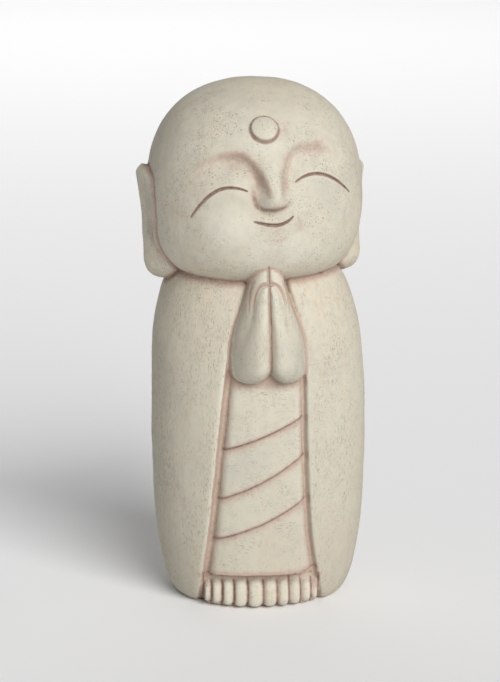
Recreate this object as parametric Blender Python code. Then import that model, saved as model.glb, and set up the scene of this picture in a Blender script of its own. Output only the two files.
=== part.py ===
# A cast jizo figure: a bald child monk in a plain robe, hands joined, standing on its own flat underside.
# Metres, +Z up. The figure faces -Y, and the origin is the middle of the flat underside.
# It is one casting, so its forms are joined into one solid. Its proportions are shares of its height.
# Left and right are as seen from the front: left is the -X side.

import math

import bmesh
import bpy
from mathutils import Matrix, Vector

HEIGHT = 0.38

# The robe is a barrel of rounded oval sections. Each pair is a height and a half width.
ROBE_HALF_WIDTH = 0.2067 * HEIGHT
ROBE_TOP = 0.674 * HEIGHT
ROBE_DEPTH_RATIO = 0.84
ROBE_SQUARENESS = 2.25
ROBE_LEAN = 0.0085 * HEIGHT
ROBE_LEAN_BY_HEIGHT = ((0.6, 0.0), (0.85, 0.6), (1.0, 1.0))
ROBE_PROFILE = (
    (-0.02, 0.66),
    (0.0, 0.76),
    (0.02, 0.825),
    (0.05, 0.868),
    (0.10, 0.91),
    (0.21, 0.965),
    (0.32, 0.988),
    (0.47, 1.0),
    (0.62, 0.992),
    (0.73, 0.975),
    (0.80, 0.945),
    (0.86, 0.90),
    (0.91, 0.845),
    (0.96, 0.745),
    (1.0, 0.60),
)
ROBE_LEVELS = (-0.015, 0.0, 0.012, 0.03, 0.055, 0.09, 0.14, 0.2, 0.27, 0.34, 0.42, 0.5, 0.58)
ROBE_SHOULDER_LEVELS = (0.65, 0.71, 0.77, 0.83, 0.88, 0.92, 0.96, 1.0)
FLANK_COLUMNS = 17

# The front opening: the place of each lip at a height, as shares of the robe's half width and top.
LIP_HEIGHTS = (-0.02, 0.06, 0.25, 0.5, 0.68, 0.76, 0.9, 1.0)
LEFT_LIP = (0.615, 0.587, 0.515, 0.435, 0.372, 0.335, 0.19, 0.06)
RIGHT_LIP = (0.56, 0.503, 0.406, 0.366, 0.355, 0.34, 0.23, 0.12)
LIP_ROLL = ((-1.0, 0.0), (-0.35, 0.1), (0.0, 0.4), (0.25, 0.8), (0.5, 1.0))
LIP_ROUNDING = 0.011 * HEIGHT
LIP_DEPTH = 0.0165 * HEIGHT
LEFT_GROOVE = 0.011 * HEIGHT
RIGHT_GROOVE = 0.0085 * HEIGHT

# The under-robe that shows in the opening, with its slanting folds.
HEM_HEIGHT = 0.066 * HEIGHT
HEM_CURL = 0.011 * HEIGHT
HEM_CURL_START = 0.8
PANEL_TOP = 0.5 * HEIGHT
PANEL_SINK = 0.0085 * HEIGHT
PANEL_EDGE = 0.014 * HEIGHT
PANEL_EDGE_LIFT = 0.25
PANEL_BACK = 0.07 * HEIGHT
PANEL_COLUMNS = 14
BAND_ROWS = (0.0, 0.3, 0.65, 1.0)
FOLD_STEP = 0.0085 * HEIGHT
FOLD_WALL = 0.004 * HEIGHT
FOLD_BULGE = 1.5
FOLD_STRAIGHTNESSES = (0.7, 0.62, 0.55)
FOLD_LEFT_HEIGHTS = (0.319 * HEIGHT, 0.2225 * HEIGHT, 0.1425 * HEIGHT)
FOLD_RISES = (0.061 * HEIGHT, 0.0845 * HEIGHT, 0.079 * HEIGHT)

# The head is a full round form, squarer in the cheeks than in the crown.
HEAD_HALF_WIDTH = 0.2022 * HEIGHT
HEAD_HALF_DEPTH = 0.195 * HEIGHT
CROWN_RISE = 0.208 * HEIGHT
JAW_DROP = 0.175 * HEIGHT
HEAD_SQUARENESS = 2.2
CROWN_SQUARENESS = 2.3
JAW_SQUARENESS = 3.1
HEAD_CENTRE = Vector((-0.009 * HEIGHT, -0.011 * HEIGHT, HEIGHT - CROWN_RISE))
HEAD_TURN = math.radians(5.8)
HEAD_LEAN = math.radians(0.5)
FACE_LEAN = math.radians(5.8)
HEAD_SEGMENTS = 48
HEAD_RINGS = 32
FRONT_CROWDING = 0.62
MIDDLE_CROWDING = 0.5

# The face, in shares of the height, measured from the middle of the head.
# Each closed eye has an inner end, a peak and an outer end.
LEFT_EYE = (0.048 * HEIGHT, 0.083 * HEIGHT, 0.1495 * HEIGHT)
RIGHT_EYE = (0.0425 * HEIGHT, 0.0745 * HEIGHT, 0.1515 * HEIGHT)
EYE_PEAK_HEIGHT = 0.035 * HEIGHT
EYE_INNER_DROP = 0.01 * HEIGHT
EYE_OUTER_DROP = 0.05 * HEIGHT
RIGHT_EYE_LIFT = 0.0042 * HEIGHT
EYE_POINTS = 12
MOUTH_HALF_WIDTH = 0.0365 * HEIGHT
MOUTH_HEIGHT = -0.0315 * HEIGHT
MOUTH_OFFSET = -0.0065 * HEIGHT
MOUTH_SAG = 0.0115 * HEIGHT
MOUTH_SKEW = 0.4
MOUTH_POINTS = 8
LINE_RADIUS = 0.005 * HEIGHT
LINE_SINK = 0.0012 * HEIGHT
LINE_END = 0.35
LINE_SWELL = 0.6
MERGE_DISTANCE = 0.00001
BROW_OUT = 0.07 * HEIGHT
BROW_HEIGHT = 0.1 * HEIGHT
BROW_INNER_DROP = 0.103 * HEIGHT
BROW_INNER_BEND = 3.2
LEFT_BROW_OUTER_DROP = 0.022 * HEIGHT
RIGHT_BROW_OUTER_DROP = 0.034 * HEIGHT
BROW_OUTER_BEND = 2.0
BROW_EDGE = 0.022 * HEIGHT
SOCKET_END = 0.14 * HEIGHT
SOCKET_FOOT = 0.02 * HEIGHT
SOCKET_FOOT_BY_SIDE = ((0.3 * BROW_OUT, -0.6), (BROW_OUT, 1.0))
SOCKET_FADE = 0.055 * HEIGHT
SOCKET_DEPTH = 0.0138 * HEIGHT
SOCKET_BY_SIDE = ((0.0, 1.0), (BROW_OUT, 0.9), (SOCKET_END, 0.0))
CHEEK_OUT = 0.1 * HEIGHT
CHEEK_HEIGHT = -0.045 * HEIGHT
CHEEK_SPREAD = 0.062 * HEIGHT
CHEEK_SWELL = 0.005 * HEIGHT
NOSE_TOP = 0.09 * HEIGHT
NOSE_FOOT = -0.0045 * HEIGHT
NOSE_OFFSET = -0.003 * HEIGHT
NOSE_HALF_WIDTH = 0.0305 * HEIGHT
NOSE_RELIEF = 0.0265 * HEIGHT
NOSE_BACK = 0.6
NOSE_POINTS = 16
URNA_HEIGHT = 0.13 * HEIGHT
URNA_RADIUS = 0.0265 * HEIGHT
URNA_RELIEF = 0.0105 * HEIGHT
URNA_SEGMENTS = 20
URNA_RINGS = 10
# Sections of the nose from its foot up: the share of the way, the width and the relief.
NOSE_SECTIONS = (
    (-0.1, 0.5, 0.25),
    (-0.06, 0.8, 0.62),
    (0.02, 0.97, 0.95),
    (0.12, 0.98, 0.98),
    (0.3, 0.86, 0.78),
    (0.55, 0.7, 0.52),
    (0.8, 0.66, 0.28),
    (1.0, 0.63, 0.05),
)

# The ears are long plates with heavy lobes, hollow on their outer face. Their rear edge stands off the head.
EAR_TOP = 0.0465 * HEIGHT
EAR_FOOT = -0.1705 * HEIGHT
EAR_REACH = 0.221 * HEIGHT
LOBE_REACH = 0.2095 * HEIGHT
EAR_HALF_WIDTH = 0.047 * HEIGHT
EAR_HALF_THICKNESS = 0.015 * HEIGHT
EAR_BACK = 0.047 * HEIGHT
LOBE_BACK = 0.026 * HEIGHT
EAR_ROUNDING = 0.03 * HEIGHT
EAR_SPLAY = math.radians(15)
LOBE_SPLAY = math.radians(46)
EAR_SQUARENESS = 2.3
EAR_STAND = 0.003 * HEIGHT
EAR_STAND_TOP = 0.07
EAR_HOLLOW_MIDDLE = (0.001 * HEIGHT, -0.033 * HEIGHT)
EAR_HOLLOW_DEPTH = 0.009 * HEIGHT
EAR_HOLLOW_SIZE = (0.02 * HEIGHT, 0.034 * HEIGHT, 0.07 * HEIGHT)
EAR_HOLLOW_SEGMENTS = 14
EAR_HOLLOW_RINGS = 10
EAR_POINTS = 16
# From the foot of the lobe, at 0, to the top of the rim, at 1.
EAR_LEVELS = (0.0, 0.03, 0.09, 0.18, 0.3, 0.42, 0.53, 0.64, 0.75, 0.86, 0.95, 1.0)
EAR_WIDTHS = ((0.0, 0.3), (0.05, 0.62), (0.15, 0.9), (0.4, 0.86), (0.7, 0.95), (0.9, 0.9), (1.0, 0.45))
EAR_THICKNESSES = ((0.0, 0.4), (0.06, 1.15), (0.16, 1.6), (0.3, 1.25), (0.5, 0.85), (0.9, 0.9), (1.0, 0.4))
EAR_REACHES = ((0.0, 0.0), (0.45, 0.1), (1.0, 1.0))
EAR_SPLAYS = ((0.0, 0.0), (0.2, 0.1), (0.6, 1.0))
EAR_ENDS = ((0.0, 1.0), (0.03, 0.5), (0.09, 0.15), (0.18, 0.0), (0.93, 0.0), (1.0, 0.4))

# The joined hands: a finger form and a thumb form on each side of the cleft.
HANDS_OFFSET = 0.005 * HEIGHT
HANDS_LEAN = 0.004 * HEIGHT
HANDS_FOOT = 0.447 * HEIGHT
HANDS_RISE = 0.2165 * HEIGHT
LEFT_HAND_HALF_WIDTH = 0.0755 * HEIGHT
RIGHT_HAND_HALF_WIDTH = 0.069 * HEIGHT
HANDS_STAND_OFF = 0.034 * HEIGHT
HANDS_BACK = -0.11 * HEIGHT
HANDS_TILT = 0.35
TILT_START = 0.2
HANDS_RISING = 0.25
HANDS_OVERLAP = 0.0028 * HEIGHT
HAND_POINTS = 16
HAND_SQUARENESS = 2.6
# From the heel of the palm, at 0, to the finger tips, at 1.
HAND_OUTLINE = (
    (0.0, 0.7),
    (0.03, 0.91),
    (0.08, 1.0),
    (0.172, 1.025),
    (0.336, 0.985),
    (0.47, 0.885),
    (0.595, 0.745),
    (0.72, 0.61),
    (0.836, 0.5),
    (0.93, 0.395),
    (0.975, 0.33),
    (1.0, 0.23),
)
HAND_INNER = ((0.0, 0.4), (0.025, 0.22), (0.06, 0.1), (0.12, 0.02), (0.17, 0.0), (0.985, 0.0), (1.0, 0.03))
HAND_BULGE = ((0.0, 0.55), (0.04, 0.82), (0.12, 0.98), (0.3, 1.0), (0.7, 0.76), (0.97, 0.5), (1.0, 0.4))
THUMB_SHARE = 0.87
THUMB_RELIEF = 0.009 * HEIGHT
THUMB_SQUARENESS = 2.3
THUMB_OUTLINE = (
    (0.0, 0.55),
    (0.06, 0.84),
    (0.18, 0.97),
    (0.35, 0.93),
    (0.48, 0.78),
    (0.6, 0.6),
    (0.72, 0.5),
    (0.86, 0.41),
    (0.95, 0.28),
    (1.0, 0.12),
)
THUMB_INNER = ((0.0, 0.36), (0.03, 0.2), (0.08, 0.09), (0.16, 0.0), (1.0, 0.0))
THUMB_BULGE = ((0.0, 0.1), (0.08, 0.3), (0.2, 0.5), (0.4, 0.75), (0.6, 1.0), (0.85, 0.85), (1.0, 0.5))

# The toes stand in a row: the half width of each on both feet, big toe first.
TOES_MIDDLE = -0.0056 * HEIGHT
LEFT_TOE_HALF_WIDTHS = tuple(w * HEIGHT for w in (0.0149, 0.0128, 0.0109, 0.01, 0.0073))
RIGHT_TOE_HALF_WIDTHS = tuple(w * HEIGHT for w in (0.0134, 0.0115, 0.0115, 0.0105, 0.0073))
TOE_HALF_HEIGHT = 0.0287 * HEIGHT
TOE_SHORTER = 0.006 * HEIGHT
TOE_MIDDLE_HEIGHT = 0.0292 * HEIGHT
TOE_HALF_LENGTH = 0.03 * HEIGHT
TOE_REACH = 0.1625 * HEIGHT
TOE_ARC = 0.035 * HEIGHT
TOE_ROW_HALF_WIDTH = 0.11 * HEIGHT
TOE_OVERLAP = 1.14
TOE_SQUARENESS = 2.8
TOE_SEGMENTS = 10
TOE_RINGS = 8
FEET_SIZE = (0.96 * TOE_ROW_HALF_WIDTH, 0.24 * TOE_REACH, 1.1 * HEM_HEIGHT)
FEET_REACH = 0.6 * TOE_REACH
FEET_SEGMENTS = 24
FEET_RINGS = 10

STONE = (0.6, 0.56, 0.455, 1.0)
STONE_ROUGHNESS = 0.85


def clear_scene():
    for old in list(bpy.data.objects):
        bpy.data.objects.remove(old)


def stone_material():
    material = bpy.data.materials.new("cast_stone")
    material.use_nodes = True
    shader = material.node_tree.nodes["Principled BSDF"]
    shader.inputs["Base Color"].default_value = STONE
    shader.inputs["Roughness"].default_value = STONE_ROUGHNESS
    shader.inputs["Metallic"].default_value = 0.0
    return material


def blend(keys, t):
    """The value at t of a smooth curve through the (t, value) keys, which never overshoots them."""
    if t <= keys[0][0]:
        return keys[0][1]
    if t >= keys[-1][0]:
        return keys[-1][1]
    slopes = [(b[1] - a[1]) / (b[0] - a[0]) for a, b in zip(keys, keys[1:])]
    tangents = [slopes[0]]
    for before, after in zip(slopes, slopes[1:]):
        same_way = before * after > 0
        tangents.append(2 * before * after / (before + after) if same_way else 0.0)
    tangents.append(slopes[-1])
    i = max(k for k in range(len(keys) - 1) if keys[k][0] <= t)
    span = keys[i + 1][0] - keys[i][0]
    s = (t - keys[i][0]) / span
    start = (1 + 2 * s) * (1 - s) ** 2 * keys[i][1] + s * (1 - s) ** 2 * span * tangents[i]
    end = s * s * (3 - 2 * s) * keys[i + 1][1] + s * s * (s - 1) * span * tangents[i + 1]
    return start + end


def hump(distance):
    """A soft rise: 1 at 0 and gone at 1 either way."""
    return (1 - distance * distance) ** 2 if abs(distance) < 1 else 0.0


def ease(t):
    """A soft step: 0 below 0 and 1 above 1."""
    t = max(0.0, min(1.0, t))
    return t * t * (3 - 2 * t)


def signed_power(value, power):
    return math.copysign(abs(value) ** power, value)


def new_object(name, mesh, collection):
    made = bpy.data.objects.new(name, mesh)
    collection.objects.link(made)
    return made


def mesh_from(bm, name):
    bmesh.ops.recalc_face_normals(bm, faces=bm.faces)
    mesh = bpy.data.meshes.new(name)
    bm.to_mesh(mesh)
    bm.free()
    return mesh


def loft(name, rings, collection):
    """A closed form through rings of points, with a flat cap on each end."""
    bm = bmesh.new()
    loops = [[bm.verts.new(point) for point in ring] for ring in rings]
    for low, high in zip(loops, loops[1:]):
        for i in range(len(low)):
            j = (i + 1) % len(low)
            bm.faces.new((low[i], low[j], high[j], high[i]))
    bm.faces.new(loops[0])
    bm.faces.new(loops[-1])
    return new_object(name, mesh_from(bm, name), collection)


def robe_half_width(z):
    return ROBE_HALF_WIDTH * blend(ROBE_PROFILE, z / ROBE_TOP)


def robe_middle(z):
    """The robe's axis, which leans a little to the figure's right at the shoulders."""
    return -ROBE_LEAN * blend(ROBE_LEAN_BY_HEIGHT, z / ROBE_TOP)


def robe_front(x, z):
    """The robe's front surface, as if it had no opening."""
    across = min(1.0, abs(x - robe_middle(z)) / robe_half_width(z))
    share = (1 - across**ROBE_SQUARENESS) ** (1 / ROBE_SQUARENESS)
    return -ROBE_DEPTH_RATIO * robe_half_width(z) * share


def lip_places(z):
    """How far left and right of the middle the opening's lips stand at a height."""
    left = -ROBE_HALF_WIDTH * blend(list(zip(LIP_HEIGHTS, LEFT_LIP)), z / ROBE_TOP)
    right = ROBE_HALF_WIDTH * blend(list(zip(LIP_HEIGHTS, RIGHT_LIP)), z / ROBE_TOP)
    return left, right


def flank(z, start, end):
    """Points round the robe from one angle off the front to another, both included."""
    points = []
    half = robe_half_width(z)
    for k in range(FLANK_COLUMNS + 1):
        angle = start + (end - start) * k / FLANK_COLUMNS
        x = half * signed_power(math.sin(angle), 2 / ROBE_SQUARENESS)
        y = -ROBE_DEPTH_RATIO * half * signed_power(math.cos(angle), 2 / ROBE_SQUARENESS)
        points.append(Vector((robe_middle(z) + x, y, z)))
    return points


def angle_at(x, z):
    off = x - robe_middle(z)
    share = min(1.0, abs(off) / robe_half_width(z))
    return math.copysign(math.asin(share ** (ROBE_SQUARENESS / 2)), off)


def robe_ring(z):
    """One level of the robe, with its lips rolled over into the sunk opening."""
    left, right = lip_places(z)
    ring = flank(z, -math.pi, angle_at(left - LIP_ROUNDING, z))
    for offset, sink in LIP_ROLL[1:]:
        x = left + offset * LIP_ROUNDING
        ring.append(Vector((x, robe_front(x, z) + sink * LIP_DEPTH, z)))
    middle = (left + right) / 2
    ring.append(Vector((middle, robe_front(middle, z) + LIP_DEPTH, z)))
    for offset, sink in reversed(LIP_ROLL[1:]):
        x = right - offset * LIP_ROUNDING
        ring.append(Vector((x, robe_front(x, z) + sink * LIP_DEPTH, z)))
    ring += flank(z, angle_at(right + LIP_ROUNDING, z), math.pi)[:-1]
    return ring


def add_robe(collection):
    levels = [ROBE_TOP * share for share in ROBE_LEVELS + ROBE_SHOULDER_LEVELS]
    return loft("jizo_figure", [robe_ring(z) for z in levels], collection)


def fold_height(band, share):
    """Where a band of the under-robe starts: its top for band 0, then the folds, and the hem at the end."""
    if band == 0:
        return PANEL_TOP
    if band <= len(FOLD_RISES):
        straightness = FOLD_STRAIGHTNESSES[band - 1]
        rise = straightness * share + (1 - straightness) * share * share
        return FOLD_LEFT_HEIGHTS[band - 1] + FOLD_RISES[band - 1] * rise
    return HEM_HEIGHT + HEM_CURL * ease((share - HEM_CURL_START) / (1 - HEM_CURL_START)) ** 2


def panel_point(band, t, share):
    """A point of the under-robe, t of the way down a band and a share of the way across."""
    upper = fold_height(band, share) - (FOLD_WALL if band else 0.0)
    z = upper + (fold_height(band + 1, share) - upper) * t
    left, right = lip_places(z)
    left += LEFT_GROOVE
    right -= RIGHT_GROOVE
    x = left + (right - left) * share
    inside = max(0.0, min(1.0, (x - left) / PANEL_EDGE, (right - x) / PANEL_EDGE))
    crown = PANEL_EDGE_LIFT + (1 - PANEL_EDGE_LIFT) * math.sqrt(1 - (1 - inside) ** 2)
    raised = LIP_DEPTH - PANEL_SINK + FOLD_STEP * t**FOLD_BULGE
    return Vector((x, robe_front(x, z) + LIP_DEPTH - raised * crown, z))


def add_panel(collection):
    """The under-robe: a sheet of folded bands, closed by walls that run back into the body."""
    bm = bmesh.new()
    shares = [0.5 - 0.5 * math.cos(math.pi * k / PANEL_COLUMNS) for k in range(PANEL_COLUMNS + 1)]
    grid = []
    for band in range(len(FOLD_RISES) + 1):
        for t in BAND_ROWS:
            grid.append([bm.verts.new(panel_point(band, t, share)) for share in shares])
    for upper, lower in zip(grid, grid[1:]):
        for k in range(PANEL_COLUMNS):
            bm.faces.new((upper[k], lower[k], lower[k + 1], upper[k + 1]))
    walls = bmesh.ops.extrude_face_region(bm, geom=bm.faces[:])
    for item in walls["geom"]:
        if isinstance(item, bmesh.types.BMVert):
            item.co.y = -PANEL_BACK
    return new_object("panel", mesh_from(bm, "panel"), collection)


def head_matrix():
    turn = Matrix.Rotation(HEAD_TURN, 4, "Z")
    lean = Matrix.Rotation(-HEAD_LEAN, 4, "Y")
    return Matrix.Translation(HEAD_CENTRE) @ turn @ lean


def head_level(z):
    """How full the head is at a height, from 1 at its middle to 0 at its crown and jaw."""
    rise, power = (CROWN_RISE, CROWN_SQUARENESS) if z > 0 else (JAW_DROP, JAW_SQUARENESS)
    return max(0.0, 1 - abs(z / rise) ** power) ** (HEAD_SQUARENESS / power)


def head_front(x, z):
    """The plain head's front surface at a place beside and above its middle."""
    depth = max(0.0, head_level(z) - abs(x / HEAD_HALF_WIDTH) ** HEAD_SQUARENESS)
    return -HEAD_HALF_DEPTH * depth ** (1 / HEAD_SQUARENESS)


def head_side(y, z):
    """The plain head's half width at a depth and a height."""
    width = max(0.0, head_level(z) - abs(y / HEAD_HALF_DEPTH) ** HEAD_SQUARENESS)
    return HEAD_HALF_WIDTH * width ** (1 / HEAD_SQUARENESS)


def face_relief(x, z):
    """How far the face stands proud of the plain head, with the sockets sunk and the cheeks full."""
    u = x * math.cos(FACE_LEAN) + z * math.sin(FACE_LEAN)
    v = z * math.cos(FACE_LEAN) - x * math.sin(FACE_LEAN)
    inner = abs(u) < BROW_OUT
    outer_drop = RIGHT_BROW_OUTER_DROP if u > 0 else LEFT_BROW_OUTER_DROP
    drop, bend = (BROW_INNER_DROP, BROW_INNER_BEND) if inner else (outer_drop, BROW_OUTER_BEND)
    off = abs(1 - abs(u) / BROW_OUT)
    slope = bend * drop * off ** (bend - 1) / BROW_OUT
    below = (BROW_HEIGHT - drop * off**bend - v) / math.hypot(1, slope)
    foot = SOCKET_FOOT * blend(SOCKET_FOOT_BY_SIDE, abs(u))
    socket = ease(below / BROW_EDGE) * ease((v - foot) / SOCKET_FADE) * blend(SOCKET_BY_SIDE, abs(u))
    cheek = math.hypot(abs(u) - CHEEK_OUT, v - CHEEK_HEIGHT) / CHEEK_SPREAD
    return CHEEK_SWELL * hump(cheek) - SOCKET_DEPTH * socket


def face_point(u, v, proud=0.0):
    """A place on the face, u beside and v above its middle, in the head's own frame."""
    x = u * math.cos(FACE_LEAN) - v * math.sin(FACE_LEAN)
    z = v * math.cos(FACE_LEAN) + u * math.sin(FACE_LEAN)
    return Vector((x, head_front(x, z) - face_relief(x, z) - proud, z))


def head_surface(direction):
    """The plain head's surface the way a direction points from its middle."""
    rise, power = (CROWN_RISE, CROWN_SQUARENESS) if direction.z > 0 else (JAW_DROP, JAW_SQUARENESS)
    across = abs(direction.x / HEAD_HALF_WIDTH) ** HEAD_SQUARENESS
    across += abs(direction.y / HEAD_HALF_DEPTH) ** HEAD_SQUARENESS
    reach = across ** (power / HEAD_SQUARENESS) + abs(direction.z / rise) ** power
    return direction / reach ** (1 / power)


def crowded(direction):
    """A direction on the ball, moved so that columns crowd to the front and rows to the middle."""
    around = math.atan2(direction.x, -direction.y)
    around -= FRONT_CROWDING * math.sin(around)
    above = math.asin(max(-1.0, min(1.0, direction.z)))
    above -= 0.5 * MIDDLE_CROWDING * math.sin(2 * above)
    level = math.cos(above)
    return Vector((level * math.sin(around), -level * math.cos(around), math.sin(above)))


def add_head(collection):
    bm = bmesh.new()
    bmesh.ops.create_uvsphere(bm, u_segments=HEAD_SEGMENTS, v_segments=HEAD_RINGS, radius=1)
    for vert in bm.verts:
        place = head_surface(crowded(vert.co))
        if place.y < 0:
            place.y -= face_relief(place.x, place.z)
        vert.co = head_matrix() @ place
    return new_object("head", mesh_from(bm, "head"), collection)


def add_nose(collection):
    """The nose: a wedge that widens and rises to its tip and turns sharply under."""
    rings = []
    for along, width, relief in NOSE_SECTIONS:
        v = NOSE_FOOT + (NOSE_TOP - NOSE_FOOT) * along
        ring = []
        for k in range(NOSE_POINTS):
            angle = 2 * math.pi * k / NOSE_POINTS
            u = NOSE_OFFSET + NOSE_HALF_WIDTH * width * math.sin(angle)
            proud = NOSE_RELIEF * (relief if math.cos(angle) > 0 else NOSE_BACK) * math.cos(angle)
            ring.append(head_matrix() @ face_point(u, v, proud))
        rings.append(ring)
    return loft("nose", rings, collection)


def add_urna(collection):
    """The round boss on the forehead."""
    bm = bmesh.new()
    bmesh.ops.create_uvsphere(bm, u_segments=URNA_SEGMENTS, v_segments=URNA_RINGS, radius=1)
    middle = face_point(0, URNA_HEIGHT)
    above = face_point(0, URNA_HEIGHT + URNA_RADIUS)
    beside = face_point(URNA_RADIUS, URNA_HEIGHT)
    outward = (beside - middle).cross(above - middle).normalized()
    facing = outward.to_track_quat("Z", "Y").to_matrix().to_4x4()
    size = Matrix.Diagonal((URNA_RADIUS, URNA_RADIUS, URNA_RELIEF, 1))
    bm.transform(head_matrix() @ Matrix.Translation(middle) @ facing @ size)
    return new_object("urna", mesh_from(bm, "urna"), collection)


def ear_ring(side, along):
    """One level of an ear: a plate on the side of the head, with its rear edge standing off it."""
    half_width = EAR_HALF_WIDTH * blend(EAR_WIDTHS, along)
    half_thickness = EAR_HALF_THICKNESS * blend(EAR_THICKNESSES, along)
    reach = LOBE_REACH + (EAR_REACH - LOBE_REACH) * blend(EAR_REACHES, along)
    reach -= EAR_ROUNDING * blend(EAR_ENDS, along)
    splay = LOBE_SPLAY + (EAR_SPLAY - LOBE_SPLAY) * blend(EAR_SPLAYS, along)
    middle_x = reach - math.hypot(half_width * math.sin(splay), half_thickness * math.cos(splay))
    middle_y = LOBE_BACK + (EAR_BACK - LOBE_BACK) * along - half_width * math.cos(splay)
    z = EAR_FOOT + (EAR_TOP - EAR_FOOT) * along
    ring = []
    for k in range(EAR_POINTS):
        angle = 2 * math.pi * k / EAR_POINTS
        across = -signed_power(math.cos(angle), 2 / EAR_SQUARENESS)
        outward = signed_power(math.sin(angle), 2 / EAR_SQUARENESS)
        thick = half_thickness * outward
        wide = half_width * across
        x = middle_x + thick * math.cos(splay) + wide * math.sin(splay)
        y = middle_y - thick * math.sin(splay) + wide * math.cos(splay)
        if 0 < k < EAR_POINTS / 2:
            stand = EAR_STAND * math.sqrt(1 - across**4) * ease((1 - along) / EAR_STAND_TOP)
            x = max(x, head_side(y, z) + stand)
        ring.append(head_matrix() @ Vector((side * x, y, z)))
    return ring


def add_ear(side, collection):
    """One ear, lofted up from its heavy lobe to its rim."""
    return loft("ear", [ear_ring(side, along) for along in EAR_LEVELS], collection)


def add_ear_hollow(side, collection):
    """The cutter that hollows an ear's outer face, inside its rim."""
    y, z = EAR_HOLLOW_MIDDLE
    x = head_side(y, z) + EAR_HOLLOW_SIZE[0] - EAR_HOLLOW_DEPTH
    bm = bmesh.new()
    bmesh.ops.create_uvsphere(bm, u_segments=EAR_HOLLOW_SEGMENTS, v_segments=EAR_HOLLOW_RINGS, radius=1)
    place = Matrix.Translation((side * x, y, z)) @ Matrix.Diagonal((*EAR_HOLLOW_SIZE, 1))
    bm.transform(head_matrix() @ place)
    return new_object("ear_hollow", mesh_from(bm, "ear_hollow"), collection)


def hands_middle(z):
    """The cleft's place, which leans a little to the left at the finger tips."""
    return HANDS_OFFSET - HANDS_LEAN * ease((z - HANDS_FOOT) / HANDS_RISE)


def hand_ring(side, z, near, outer, relief, squareness):
    """One level of a hand or thumb, from its near edge at the cleft to its outer edge."""
    upward = (z - HANDS_FOOT) / HANDS_RISE
    front = robe_front(HANDS_OFFSET, HANDS_FOOT) - relief
    front -= HANDS_STAND_OFF * (blend(HAND_BULGE, upward) - HANDS_RISING * upward)
    half = (outer - near) / 2
    half_depth = (HANDS_BACK - front) / 2
    ring = []
    for k in range(HAND_POINTS):
        angle = 2 * math.pi * k / HAND_POINTS
        off = near + half + half * signed_power(math.sin(angle), 2 / squareness)
        y = (front + HANDS_BACK) / 2 - half_depth * signed_power(math.cos(angle), 2 / squareness)
        if math.cos(angle) > 0:
            y += HANDS_TILT * max(0.0, off - TILT_START * outer)
        ring.append(Vector((hands_middle(z) + side * off, y, z)))
    return ring


def add_hand(side, collection):
    """One hand's fingers and palm, upright, with a rounded heel and a narrow tip."""
    half_width = RIGHT_HAND_HALF_WIDTH if side > 0 else LEFT_HAND_HALF_WIDTH
    rings = []
    for along, share in HAND_OUTLINE:
        near = half_width * blend(HAND_INNER, along) - HANDS_OVERLAP
        z = HANDS_FOOT + HANDS_RISE * along
        rings.append(hand_ring(side, z, near, half_width * share, 0.0, HAND_SQUARENESS))
    return loft("hand", rings, collection)


def add_thumb(side, collection):
    """The thumb and the heel of the palm, a rounded form on the front of each hand."""
    half_width = RIGHT_HAND_HALF_WIDTH if side > 0 else LEFT_HAND_HALF_WIDTH
    rings = []
    for along, share in THUMB_OUTLINE:
        near = half_width * blend(THUMB_INNER, along) - HANDS_OVERLAP
        z = HANDS_FOOT + HANDS_RISE * THUMB_SHARE * along
        relief = THUMB_RELIEF * blend(THUMB_BULGE, along)
        rings.append(hand_ring(side, z, near, half_width * share, relief, THUMB_SQUARENESS))
    return loft("thumb", rings, collection)


def add_toe(x, half_width, collection):
    """One toe: a squared ball, which is shorter and stands further back the further out it is."""
    off = (x - TOES_MIDDLE) / TOE_ROW_HALF_WIDTH
    middle = Vector((x, TOE_HALF_LENGTH + TOE_ARC * off * off - TOE_REACH, TOE_MIDDLE_HEIGHT))
    bm = bmesh.new()
    bmesh.ops.create_uvsphere(bm, u_segments=TOE_SEGMENTS, v_segments=TOE_RINGS, radius=1)
    for vert in bm.verts:
        vert.co /= sum(abs(c) ** TOE_SQUARENESS for c in vert.co) ** (1 / TOE_SQUARENESS)
    half_height = TOE_HALF_HEIGHT - TOE_SHORTER * off * off
    size = Matrix.Diagonal((TOE_OVERLAP * half_width, TOE_HALF_LENGTH, half_height, 1))
    bm.transform(Matrix.Translation(middle) @ size)
    return new_object("toe", mesh_from(bm, "toe"), collection)


def add_toes(collection):
    """Five toes on each foot, side by side along a shallow arc, over a low foot form."""
    for side, widths in ((-1, LEFT_TOE_HALF_WIDTHS), (1, RIGHT_TOE_HALF_WIDTHS)):
        edge = TOES_MIDDLE
        for half_width in widths:
            add_toe(edge + side * half_width, half_width, collection)
            edge += side * 2 * half_width
    bm = bmesh.new()
    bmesh.ops.create_uvsphere(bm, u_segments=FEET_SEGMENTS, v_segments=FEET_RINGS, radius=1)
    place = Matrix.Translation((TOES_MIDDLE, -FEET_REACH, 0))
    bm.transform(place @ Matrix.Diagonal((*FEET_SIZE, 1)))
    return new_object("feet", mesh_from(bm, "feet"), collection)


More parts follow.
